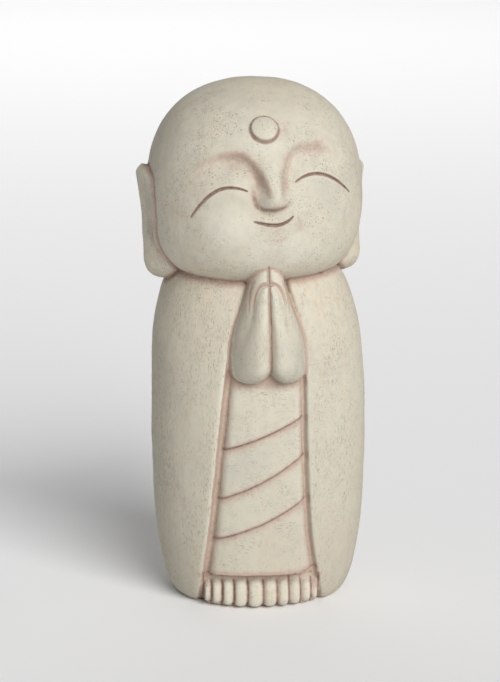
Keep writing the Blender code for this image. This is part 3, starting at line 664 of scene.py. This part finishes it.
class Weave:  # neighbours of a mesh's points, for smoothing arrays of values over the skin
    def __init__(self, mesh):
        self.start, self.end = edgeEnds(mesh).T
        self.size = len(mesh.vertices)
        self.count = np.bincount(self.start, minlength=self.size) + np.bincount(self.end, minlength=self.size)

    def mean(self, values):
        total = np.bincount(self.start, weights=values[self.end], minlength=self.size)
        total = total + np.bincount(self.end, weights=values[self.start], minlength=self.size)
        return total / np.maximum(self.count, 1)

    def relaxed(self, points, rounds, weight=0.5):
        for _ in range(rounds):
            mean = rows(*(self.mean(points[:, k]) for k in range(3)))
            points = points + (mean - points) * np.reshape(weight, (-1, 1))
        return points


def eyeLine(side):
    start, peak, end = face["leftEye"] if side > 0 else face["rightEye"]
    u = np.linspace(start, end, 28)
    inner = ((peak - u) / (peak - start)) ** 2 * face["eyeInnerDrop"]
    outer = ((u - peak) / (end - peak)) ** 2 * face["eyeOuterDrop"]
    height = face["eyeHeight"] + (face["leftEyeLift"] if side > 0 else 0)
    return rows(side * u, height - np.where(u < peak, inner, outer))


def mouthLine():
    share = np.linspace(-1, 1, 22)
    v = face["mouthHeight"] - face["mouthSag"] * (1 - share ** 2) * (1 + face["mouthSkew"] * share)
    return rows(face["mouthOff"] + face["mouthHalf"] * share, v)


def headView(points):  # face coordinates of world points, and which of them are on the front of the head
    local = intoWorld(points, head["place"].inverted())
    u, v = faceCoordinates(local[:, 0], local[:, 2])
    onFace = (local[:, 1] < -0.3 * head["halfDepth"]) & (v > -0.9 * head["jawDrop"])
    return u, v, onFace


def onHands(points):
    x, y, z = points.T
    along = (z - hands["foot"]) / hands["rise"]
    off = x - handsMiddle(z)
    half = handHalf(off) * through(hands["outline"], along)
    there = (along > -0.045) & (along < 1.02) & (np.abs(off) < half + 0.005 * tall)
    return there & (y < robeFront(x, z) - 0.25 * hands["standOff"])


def carvedLines(points):  # how deep each point is carved, and how much of the wash and of the painted shade it holds
    u, v, onFace = headView(points)
    x, _, z = points.T
    lines = [(eyeLine(side), face["eyeHalfLine"], face["eyeDepth"]) for side in (-1, 1)]
    depth, wash = [], []
    for line, half, deep in (*lines, (mouthLine(), face["mouthHalfLine"], face["mouthDepth"])):
        away, share = nearLine(u, v, line)
        taper = 0.4 + 0.6 * np.sin(math.pi * share) ** 0.6
        depth.append(deep * taper * hump(away / (half * taper)) * onFace)
        wash.append(ease(1.3 - away / (half * taper)) * onFace)
    flat = intoWorld(points, urnaPlace().inverted())
    ring = np.abs(np.hypot(flat[:, 0], flat[:, 1]) - face["urnaRadius"]) / face["urnaGroove"]
    ring = np.where(np.abs(flat[:, 2]) < 2 * face["urnaRelief"], ring, 9)
    depth.append(face["urnaGrooveDepth"] * hump(ring))
    wash.append(0.7 * ease(1.3 - ring))
    handSkin = onHands(points)

    def carveHand(line, half, deep, fade, wet):  # fade gives its strength along the line
        away, share = nearLine(x, z, line)
        strength = fade(share) * handSkin
        depth.append(deep * strength * hump(away / half))
        wash.append(wet * strength * ease(1.4 - away / half))

    carveHand(cleftLine(), hands["cleftHalf"], hands["cleftDepth"], np.ones_like, 1)
    for side in (-1, 1):
        line = handLine(side, hands["arch"], 18)
        carveHand(line, hands["archHalf"], hands["archDepth"], lambda t: fading(t - 0.45, 0.55), 1)
        line = handLine(side, hands["finger"], 14)
        carveHand(line, hands["fingerHalf"], hands["fingerDepth"], lambda t: np.sin(math.pi * t) ** 0.5, 0.6)
    return np.maximum.reduce(depth), np.maximum.reduce(wash)


def onPanel(points):  # the under-robe's own front skin, and where it would stand
    x, y, z = points.T
    share, inside = panelShare(x, z)
    stand = robeFront(x, z) + openingSink(x, z)
    there = (y < 0) & (inside > 0) & (z > hemHeight(share) + 0.001 * tall) & (z < underRobe["top"])
    return there & (np.abs(y - stand) < underRobe["skinDepth"]), stand


def refine(mesh):  # halves the mesh where a carved line or the wall of a fold runs
    points = pointsOf(mesh)
    depth, wash = carvedLines(points)
    share, _ = panelShare(points[:, 0], points[:, 2])
    skinned, _ = onPanel(points)
    wall = 0.001
    folds = np.min([np.abs(points[:, 2] - edge + wall) for edge in foldHeights(share)], axis=0)
    wanted = (depth > 0) | (wash > 0.02) | (skinned & (folds < 3 * wall))
    bm = bmesh.new()
    bm.from_mesh(mesh)
    bm.verts.ensure_lookup_table()
    edges = [e for e in bm.edges if wanted[e.verts[0].index] or wanted[e.verts[1].index]]
    bmesh.ops.subdivide_edges(bm, edges=edges, cuts=1, use_grid_fill=True)
    bmesh.ops.triangulate(bm, faces=[f for f in bm.faces if len(f.verts) > 4])
    bm.to_mesh(mesh)
    bm.free()


def unevenness(points, length, count, seed):  # waviness of a hand-finished surface, about -1 to 1
    rng = np.random.default_rng(seed)
    total = np.zeros(len(points))
    for _ in range(count):
        direction = rng.normal(size=3)
        direction = direction / np.linalg.norm(direction) / (length * rng.uniform(0.6, 1.7))
        total = total + np.sin(2 * math.pi * (points @ direction) + rng.uniform(0, 2 * math.pi))
    return total / math.sqrt(count)


def treeOf(points):  # for finding the nearest of them
    tree = KDTree(len(points))
    for i, point in enumerate(points):
        tree.insert(point, i)
    tree.balance()
    return tree


class Joints:  # the lines where one form of the casting meets another
    def __init__(self, forms):
        points = np.concatenate([pointsOf(mesh) for mesh in forms])
        self.names = sorted({mesh.name.split(".")[0] for mesh in forms})
        kinds = [self.names.index(mesh.name.split(".")[0]) for mesh in forms]
        self.kinds = np.repeat(kinds, [len(mesh.vertices) for mesh in forms])
        self.tree = treeOf(points)

    def find(self, mesh):
        kinds = np.array([self.kinds[self.tree.find(point)[1]] for point in pointsOf(mesh)])
        ends = edgeEnds(mesh)
        self.ends = ends[kinds[ends[:, 0]] != kinds[ends[:, 1]]]
        self.pairs = np.sort(kinds[self.ends], axis=1)
        self.points = pointsOf(mesh)[self.ends].mean(axis=1)

    def away(self, points, *pairs):  # distance of points to the joints between these pairs of forms
        wanted = np.zeros(len(self.pairs), dtype=bool)
        for pair in pairs:
            codes = sorted(self.names.index(name) for name in pair)
            wanted |= (self.pairs == codes).all(axis=1)
        tree = treeOf(self.points[wanted])
        return np.array([tree.find(point)[2] for point in points])


def carve(mesh, joints):
    refine(mesh)
    weave = Weave(mesh)
    points = weave.relaxed(pointsOf(mesh), skin["smoothRounds"])
    palms = onHands(points) * ease((hands["relaxBelow"] - points[:, 2]) / hands["relaxFade"])
    points = weave.relaxed(points, hands["relaxRounds"], 0.5 * palms)
    movePoints(mesh, points)
    joints.find(mesh)
    normals = normalsOf(mesh)
    depth, _ = carvedLines(points)
    earSeam = joints.away(points, ("ear", "head"), ("ear", "robe"))
    depth = np.maximum(depth, ear["seamDepth"] * hump(earSeam / ear["seamHalf"]))
    neck = joints.away(points, ("head", "robe"))
    depth = np.maximum(depth, head["neckDepth"] * hump(neck / head["neckHalf"])) + earHollow(points)
    wavy = sum(height * unevenness(points, *wave) for height, *wave in skin["waves"])
    skinned, stand = onPanel(points)
    points[skinned, 1] = stand[skinned]
    points = points + normals * (wavy - depth)[:, None]
    low = pointsOf(mesh)[:, 2] < 1e-5
    points[low, 2] = 0
    points[:, 2] = np.maximum(points[:, 2], 0)
    movePoints(mesh, points)
    print("carved", len(mesh.vertices), "points")


def cavities(mesh, rounds):  # how far each point lies below the smoothed skin
    points = pointsOf(mesh)
    smooth = Weave(mesh).relaxed(points, rounds)
    return ((smooth - points) * normalsOf(mesh)).sum(axis=1)


def thinned(mesh):
    figure = addObject("castFigure", mesh)
    triangles = sum(len(p.vertices) - 2 for p in mesh.polygons)
    thin = figure.modifiers.new("thin", "DECIMATE")
    thin.ratio = min(1, skin["triangles"] / triangles)
    final = applied(figure)
    figure.modifiers.clear()
    figure.data = final
    print("thinned from", triangles, "to", len(final.polygons), "faces")
    return figure


def setAttribute(mesh, name, values):
    layer = mesh.attributes.new(name, "FLOAT", "POINT")
    layer.data.foreach_set("value", np.clip(values, 0, 1).astype(np.float32))


washes = {
    **sized(
        leftLip=0.025,  # how far each wash, and each painted shade line, reaches
        rightLip=0.024, rightWall=0.006, groove=0.005, fold=0.026, underFold=0.009, foldLine=0.0062,
        hem=0.015, toeGap=0.0046, toeRoot=0.008, toeFoot=0.01, rightHand=0.003575, leftHand=0.0065,
        fingers=0.0065, underHands=0.036, neck=0.018, ear=0.013, nose=0.009, brow=0.014,
        beside=0.022,  # the robe beside the hands is clean
        frontTop=0.64,
    ),
    "broad": 0.0012,  # depths at which a hollow holds the full wash
    "fine": 0.0003,
    "proud": 0.0008,  # height at which an edge is fully worn
}

# soft patches of old colour on the face: beside, above, spread, strength
facePatches = (
    (-0.06, 0.076, 0.028, 0.55), (-0.03, 0.055, 0.016, 0.35), (-0.026, 0.01, 0.014, 0.4),
    (0.09, 0.087, 0.03, 0.5), (0.03, 0.075, 0.012, 0.35), (0, -0.008, 0.02, 0.5),
    (-0.004, -0.062, 0.026, 0.5), (-0.13, 0.04, 0.03, 0.35), (0.035, 0.12, 0.025, 0.4),
    (-0.01, -0.1, 0.03, 0.35), (0.04, -0.05, 0.014, 0.5), (-0.165, -0.01, 0.03, 0.35),
    (-0.12, 0.062, 0.03, 0.42), (-0.09, 0.05, 0.02, 0.35),
)

# painted highlights on the face, where more light falls: beside, above, half width, half height, strength
highlightPatches = ((0, -0.095, 0.11, 0.058, 0.8), (-0.085, -0.035, 0.065, 0.06, 0.9), (0, 0.1, 0.05, 0.03, 0.6))


def frontWash(points):  # wash below the head and where the robe is open, and painted shade lines under the fold edges, along the hem and between the toes
    x, y, z = points.T
    left, right = lipPlaces(z)
    front = robeFront(x, z)
    share, inside = panelShare(x, z)
    facing = (y < 0) & (z < washes["frontTop"]) & (front + 0.03 * tall > y)
    opening = facing & (x > left - 0.2 * robe["lipRounding"]) & (x < right + 0.2 * robe["lipRounding"])
    opening &= y > front - 0.002 * tall
    panel = opening & (z > hemHeight(share) - 0.004 * tall)
    offWall = 0.3 + 0.7 * ease((right - x) / washes["rightWall"])
    offGroove = 0.3 + 0.7 * ease((inside + washes["groove"]) / washes["groove"])
    wash = [0.76 * fading(x - left, washes["leftLip"]) * opening]
    wash.append(0.7 * fading(right - x, washes["rightLip"]) * offWall * opening)
    dark = []
    for edge in foldHeights(share):
        under = edge - z
        band = fading(under, washes["fold"]) * (under > -0.001 * tall)
        ends = 0.6 + 0.4 * np.abs(2 * share - 1) ** 1.5
        wash.append(0.9 * ends * band * panel)
        wash.append(hump((under - 0.003 * tall) / washes["underFold"]) * panel)
        # painted shadow under each fold's lower edge
        dark.append(0.75 * hump((under - 0.0025 * tall) / washes["foldLine"]) * offGroove * panel)
    hem = np.abs(z - hemHeight(share))
    wash.append(0.9 * fading(hem, washes["hem"]) * opening)
    # painted shade along the hem
    dark.append(0.7 * fading(hem, 0.35 * washes["hem"]) * opening)
    low = (y < 0) & (z < underRobe["hem"]) & (x > left - 0.01 * tall) & (x < right + 0.01 * tall)
    low &= y < front + robe["lipDepth"]
    gap = np.min([np.abs(x - place) for place in toePlaces()[1]], axis=0)
    wash.append(1.2 * fading(gap, washes["toeGap"]) * low)
    # painted shade in the gaps between the toes
    dark.append(fading(gap, 0.8 * washes["toeGap"]) * low)
    wash.append(0.8 * ease((z - toes["root"]) / washes["toeRoot"]) * low)
    wash.append(0.5 * fading(z, washes["toeFoot"]) * low)
    for side, reach in ((-1, washes["rightHand"]), (1, washes["leftHand"])):
        near = 0.8 * fading(nearLine(x, z, handEdge(side))[0], reach) * facing
        wash.append(near * (y > front - 0.8 * hands["standOff"]))
    under = (hands["foot"] + 0.012 * tall - z) / washes["underHands"]
    wash.append(1.3 * (1 - ease(under)) * (under > -1) * panel)
    return np.maximum.reduce(wash), np.maximum.reduce(dark), opening


def faceWash(points):  # wash, painted shade and blush of the face; the wash under the brows and round the nose's foot is partly painted shade
    u, v, onFace = headView(points)
    length = face["noseTop"] - face["noseFoot"]
    foot = np.array(face["noseCrease"]) * (face["noseHalf"], length) + (face["noseOff"], face["noseFoot"])
    away, share = nearLine(u, v, foot)
    # painted shade round the nose's foot, strongest under it and on the side away from the light; it feeds
    # both the wash and the painted shade
    strength = through(((0, 0.3), (0.25, 1), (0.6, 1), (1, 0.35)), share)
    crease = fading(away, washes["nose"]) * strength * onFace
    ends = through(((0, 0.3), (0.02 * tall, 0.62), (0.1 * tall, 0.5), (0.15 * tall, 0)), np.abs(u))
    # band under the brow ridge: stain and painted shade, fuller on the side away from the light
    brow = hump((belowBrow(u, v) - 0.008 * tall) / washes["brow"]) * ends * onFace * (v > 0.01 * tall)
    wash = np.maximum(0.75 * crease, brow * np.where(u < 0, 1, 0.7))
    blush = np.zeros(len(points))
    for across, up, spread, strength in facePatches:
        away = np.hypot(u - across * tall, v - up * tall) / (spread * tall)
        blush = np.maximum(blush, strength * np.exp(-away * away) * onFace)
    return wash, 0.6 * crease, blush


def paintedHighlights(points):  # painted highlights: the edges of the two lips, where their roll catches the light, and the better lit places on the face
    x, y, z = points.T
    left, right = lipPlaces(z)
    half = 0.6 * robe["lipRounding"]
    # painted highlight on each lip's rolled edge
    worn = np.maximum(hump((x - left + 0.7 * half) / half), hump((x - right - 0.7 * half) / half))
    worn = worn * (y < 0) * (z < 0.5 * tall) * (np.abs(robeFront(x, z) - y) < 0.006 * tall)
    u, v, onFace = headView(points)
    for across, up, half, halfUp, strength in highlightPatches:
        away = np.hypot(u / tall - across, (v / tall - up) * half / halfUp) / half
        worn = np.maximum(worn, strength * hump(away) * onFace)
    return worn


def dirtAndShadePlaces(points, panel):  # darker towards the bottom of the robe, dirt and painted shade of light that fades downwards; painted shade at the outer sides and foot of the hands
    x, y, z = points.T
    left, right = lipPlaces(z)
    onToes = (z < underRobe["hem"]) & (x > left) & (x < right) & (y < robeFront(x, z) + 0.004 * tall)
    # the robe darkens towards the bottom: dirt, and painted shade for light that fades downwards
    grime = np.where(onToes, 0.15, 0.75 * (1 - z / (0.62 * tall)) * (1 - 0.3 * panel))
    offCleft = (handsMiddle(z) - x) / hands["rightHalf"]
    # painted shade on the hands' outer sides, which turn from the light, and under their foot
    shaded = through(((-1.1, 0.9), (-0.65, 0.4), (-0.35, 0), (0.15, 0), (0.45, 0.8), (0.8, 1)), offCleft)
    shaded = np.maximum(shaded, 0.95 * ease((hands["foot"] + 0.05 * tall - z) / (0.045 * tall)))
    return np.where(onHands(points), shaded, grime)


def stain(dense, mesh, joints):  # wash in the recesses, and painted shade in the deepest of them, under the chin, along the ears and in the carved lines
    fine = cavities(dense, skin["fineRounds"])
    broad = cavities(dense, skin["broadRounds"])
    tree = treeOf(pointsOf(dense))
    points = pointsOf(mesh)
    nearest = np.array([tree.find(point)[1] for point in points])
    fine, broad = fine[nearest], broad[nearest]
    x, y, z = points.T
    _, lines = carvedLines(points)
    front, dark, opening = frontWash(points)
    faceWashAndShade, noseShade, blush = faceWash(points)
    beside = np.min([nearLine(x, z, handEdge(side))[0] for side in (-1, 1)], axis=0)
    clean = hump(beside / washes["beside"]) * ease((z - 0.5 * tall) / (0.05 * tall)) * (y < -0.05 * tall)
    wash = np.clip(broad / washes["broad"], 0, 1) * 0.8 + np.clip(fine / washes["fine"], 0, 1) * 0.4
    wash = wash * (1 - 0.75 * clean) * (1 - 0.35 * opening)
    neck = joints.away(points, ("head", "robe"))
    fingers = joints.away(points, ("hand", "head"))
    ears = joints.away(points, ("ear", "head"), ("ear", "robe"))
    seams = np.maximum(0.8 * fading(neck, washes["neck"]), 0.7 * fading(fingers, washes["fingers"]))
    seams = np.maximum(seams, 0.85 * fading(ears, washes["ear"]))
    setAttribute(mesh, "wash", np.maximum.reduce((wash, lines, front, seams, faceWashAndShade)))
    setAttribute(mesh, "blush", blush)
    # painted shade under the chin, at the finger tips and along the ears' seams
    under = np.minimum(neck / (0.3 * washes["neck"]), fingers / (0.5 * washes["fingers"]))
    seams = np.maximum(0.3 * (1 - ease(under)), 0.5 * fading(ears, 0.35 * washes["ear"]))
    # painted shade in the finest recesses
    fine = np.clip(fine / washes["fine"] - 0.3, 0, 1) * (1 - 0.8 * opening)
    # painted shade in the carved lines, less of it on the hands
    lines = 0.8 * lines * (1 - 0.65 * onHands(points))
    setAttribute(mesh, "dark", np.maximum.reduce((fine, lines, dark, seams, noseShade)))
    worn = np.clip(-broad / washes["proud"] - 0.2, 0, 1)
    setAttribute(mesh, "worn", np.maximum(worn, paintedHighlights(points)))
    panel = (y < -0.05 * tall) & (panelShare(x, z)[1] > 0) & (z < underRobe["top"])
    setAttribute(mesh, "panel", panel.astype(float))
    setAttribute(mesh, "headPart", ease((z - 0.655 * tall) / (0.02 * tall)))
    setAttribute(mesh, "grime", dirtAndShadePlaces(points, panel))
    print("stain laid")


# cast stone finish

stone = {
    "cream": (0.60, 0.562, 0.455, 1),
    "creamWarm": (0.615, 0.54, 0.415, 1),
    "creamCool": (0.485, 0.47, 0.405, 1),
    "wash": (0.44, 0.305, 0.24, 1),
    "peach": (0.5, 0.395, 0.3, 1),
    # colour of the painted shade in creases, under fold edges and in carved lines
    "dark": (0.16, 0.105, 0.085, 1),
    "pit": (0.29, 0.2, 0.145, 1),
    # colour of wear and of the painted highlights
    "worn": (0.68, 0.655, 0.56, 1),
    # colour of the dirt and of the painted shade
    "grime": (0.45, 0.42, 0.34, 1),
}

even = (1, 1, 1)  # no stretch
# each pattern of the stone: size of its noise, detail, stretch, where it starts and where it is full
patterns = {
    "warmth": (9, 4, even, 0.45, 0.68),
    "coolness": (18, 6, even, 0.5, 0.72),
    "runs": (55, 4, (1, 1, 0.22), 0.5, 0.7),
    "mottle": (170, 5, even, 0.4, 0.7),
    "flecks": (1100, 2, (1, 1, 0.26), 0.54, 0.7),
    "flecksWhere": (60, 3, (1, 1, 0.4), 0.36, 0.62),
    "scratches": (1100, 2, (0.3, 1, 1), 0.56, 0.72),
    "scratchesWhere": (70, 3, even, 0.4, 0.65),
    "pits": (980, 2, even, 0.59, 0.69),
    "pitsWhere": (45, 3, even, 0.4, 0.6),
    "streaks": (330, 3, (1, 1, 0.12), 0.5, 0.72),
    "streaksWhere": (24, 3, even, 0.4, 0.66),
    "blotches": (320, 4, (1, 1, 0.5), 0.5, 0.7),
    "blotchesWhere": (30, 3, even, 0.42, 0.66),
}
layers = (("coolness", 0.7, "creamCool"), ("runs", 0.5, "creamWarm"), ("mottle", 0.45, "creamCool"))
# each stain, and the painted shade: its attribute and colour, where it starts and is full, strength
stains = (
    ("blush", "wash", 0.05, 0.95, 0.8),
    ("wash", "wash", -0.02, 0.72, 0.78),
    ("dark", "dark", 0.12, 1, 0.8),
)


class Nodes:  # short way to wire a material
    def __init__(self, material):
        material.use_nodes = True
        self.tree = material.node_tree
        self.shader = self.tree.nodes["Principled BSDF"]

    def add(self, kind, settings=None, **inputs):
        node = self.tree.nodes.new(kind)
        for key, value in (settings or {}).items():
            setattr(node, key, value)
        for key, value in inputs.items():
            self.put(node.inputs[key.replace("_", " ")], value)
        return node

    def put(self, socket, value):
        if isinstance(value, bpy.types.NodeSocket):
            self.tree.links.new(value, socket)
        else:
            socket.default_value = value

    def attribute(self, name):
        return self.add("ShaderNodeAttribute", {"attribute_name": name}).outputs["Fac"]

    def ramp(self, value, low, high):  # 0 below low, 1 above high
        settings = {"interpolation_type": "SMOOTHSTEP"}
        node = self.add("ShaderNodeMapRange", settings, Value=value, From_Min=low, From_Max=high)
        return node.outputs["Result"]

    def math(self, operation, a, b):
        node = self.add("ShaderNodeMath", {"operation": operation})
        self.put(node.inputs[0], a)
        self.put(node.inputs[1], b)
        return node.outputs[0]

    def times(self, a, b):
        return self.math("MULTIPLY", a, b)

    def over(self, below, share, strength, colour):  # one of the stone's colours over the tone below
        node = self.add("ShaderNodeMix", {"data_type": "RGBA"})
        self.put(node.inputs[0], self.times(share, strength))
        self.put(node.inputs[6], below)
        self.put(node.inputs[7], stone[colour])
        return node.outputs[2]

    def noise(self, scale, detail=4, stretch=even, rough=0.55):
        coords = self.add("ShaderNodeTexCoord").outputs["Object"]
        place = self.add("ShaderNodeMapping", Vector=coords, Scale=stretch).outputs[0]
        node = self.add("ShaderNodeTexNoise", Vector=place, Scale=scale, Detail=detail, Roughness=rough)
        return node.outputs["Fac"]

    def pattern(self, name):
        scale, detail, stretch, low, high = patterns[name]
        return self.ramp(self.noise(scale, detail, stretch), low, high)

    def patches(self, name):  # a pattern that comes in patches
        return self.times(self.pattern(name), self.pattern(name + "Where"))


def castStone():
    material = bpy.data.materials.new("castStone")
    n = Nodes(material)
    headPart, panel, worn = n.attribute("headPart"), n.attribute("panel"), n.attribute("worn")
    body = n.math("SUBTRACT", 1, n.math("MAXIMUM", headPart, panel))
    tone = n.over(stone["cream"], n.pattern("warmth"), 1, "creamWarm")
    for name, strength, colour in layers:
        tone = n.over(tone, n.pattern(name), strength, colour)
    # wear on raised edges, and painted highlights
    tone = n.over(tone, worn, 0.6, "worn")
    # dirt and painted shade
    tone = n.over(tone, n.attribute("grime"), 0.95, "grime")
    tone = n.over(tone, n.times(n.patches("streaks"), body), 0.4, "peach")
    tone = n.over(tone, n.patches("blotches"), 0.45, "peach")
    flecks = n.times(n.patches("flecks"), body)
    scratches = n.times(n.patches("scratches"), panel)
    pits = n.times(n.patches("pits"), n.math("ADD", 0.55, n.times(headPart, 0.4)))  # most on the head
    pits = n.times(pits, n.math("SUBTRACT", 1, n.times(worn, 0.6)))
    marks = n.math("MAXIMUM", n.times(n.math("MAXIMUM", flecks, scratches), 0.68), pits)
    tone = n.over(tone, marks, 0.8, "pit")
    uneven = n.math("ADD", n.times(n.noise(240, 5, rough=0.7), 2.2), -0.1)
    for name, colour, low, high, strength in stains:
        tone = n.over(tone, n.ramp(n.times(n.attribute(name), uneven), low, high), strength, colour)
    n.put(n.shader.inputs["Base Color"], tone)
    n.put(n.shader.inputs["Roughness"], n.math("ADD", 0.58, n.times(n.noise(60), 0.3)))
    n.shader.inputs["Specular IOR Level"].default_value = 0.35
    height = n.math("SUBTRACT", n.times(n.noise(700, 3), 0.5), n.times(marks, 0.9))
    bump = n.add("ShaderNodeBump", Height=height, Strength=0.6, Distance=0.0005)
    n.put(n.shader.inputs["Normal"], bump.outputs[0])
    return material


def makeFigure():
    forms = [makeRobe(), makeHead(), makeUrna(), *makeToes()]
    for side in (-1, 1):
        forms += [makeEar(side), makeHandForm(side, "hand", hands), makeHandForm(side, "thumb", thumb)]
    print("forms made", len(forms))
    joints = Joints(forms)
    dense = fuse(forms)
    cutFlat(dense)
    carve(dense, joints)
    figure = thinned(dense)
    stain(dense, figure.data, joints)
    figure.data.shade_smooth()
    figure.data.materials.append(castStone())
    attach(figure, "root")
    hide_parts("jizo_figure")
    print("figure done", len(figure.data.polygons), "triangles")


# studio

studio = {
    "floorHalf": 60, "floorSink": 0.0004,
    "floorTone": (0.96, 0.96, 0.96, 1),
    "floorRoughness": 0.9,
    "air": (1, 1, 1, 1),
    "airStrength": 0.22, "keyPower": 2.93, "keySpread": math.radians(40),
    "keyFrom": (0.77, -1.89, 1.38),
    "backdropPower": 70,
    "backdropSize": (5, 6),
    "backdropPlace": (0, 5.2, 3),
    "aim": (0, 0, 0.5 * tall),
    "cameraDistance": 1.7, "cameraAngle": math.radians(-6), "cameraHeight": math.radians(12),
    "sensor": 24,
    "pictureHeight": 682,  # pixels, as the next two are
    "focalPixels": 2320,
    "shiftPixels": (-8, -5),
}


def lookAt(item, target):
    item.rotation_euler = (Vector(target) - item.location).to_track_quat("-Z", "Y").to_euler()


def makeStudio():
    bm = bmesh.new()
    bmesh.ops.create_grid(bm, x_segments=1, y_segments=1, size=studio["floorHalf"])
    bmesh.ops.translate(bm, verts=bm.verts, vec=(0, 0, -studio["floorSink"]))
    floor = addObject("floor", meshFrom(bm, "floor"))
    pale = bpy.data.materials.new("paleFloor")
    shader = Nodes(pale).shader
    shader.inputs["Base Color"].default_value = studio["floorTone"]
    shader.inputs["Roughness"].default_value = studio["floorRoughness"]
    floor.data.materials.append(pale)
    scene = bpy.context.scene
    scene.world = bpy.data.worlds.new("studioAir")
    scene.world.use_nodes = True
    air = scene.world.node_tree.nodes["Background"].inputs
    air["Color"].default_value = studio["air"]
    air["Strength"].default_value = studio["airStrength"]
    light = bpy.data.lights.new("softKey", "SUN")
    light.energy = studio["keyPower"]
    light.angle = studio["keySpread"]
    key = addObject("softKey", light)
    key.location = studio["keyFrom"]
    lookAt(key, studio["aim"])
    light = bpy.data.lights.new("backdropLight", "AREA")  # hangs over the floor behind the figure
    light.energy = studio["backdropPower"]
    light.shape = "RECTANGLE"
    light.size, light.size_y = studio["backdropSize"]
    addObject("backdropLight", light).location = studio["backdropPlace"]
    scene.view_settings.view_transform = "Standard"
    print("studio lit")


def makeCamera():
    camera = addObject("camera", bpy.data.cameras.new("camera"))
    around, above = studio["cameraAngle"], studio["cameraHeight"]
    away = Vector((math.sin(around) * math.cos(above), -math.cos(around) * math.cos(above), math.sin(above)))
    camera.location = Vector(studio["aim"]) + studio["cameraDistance"] * away
    lookAt(camera, studio["aim"])
    camera.data.sensor_fit = "VERTICAL"
    camera.data.sensor_height = studio["sensor"]
    camera.data.lens = studio["sensor"] / studio["pictureHeight"] * studio["focalPixels"]
    camera.data.shift_x, camera.data.shift_y = (n / studio["pictureHeight"] for n in studio["shiftPixels"])
    bpy.context.scene.camera = camera
    print("camera set")


makeCamera()
makeFigure()
makeStudio()
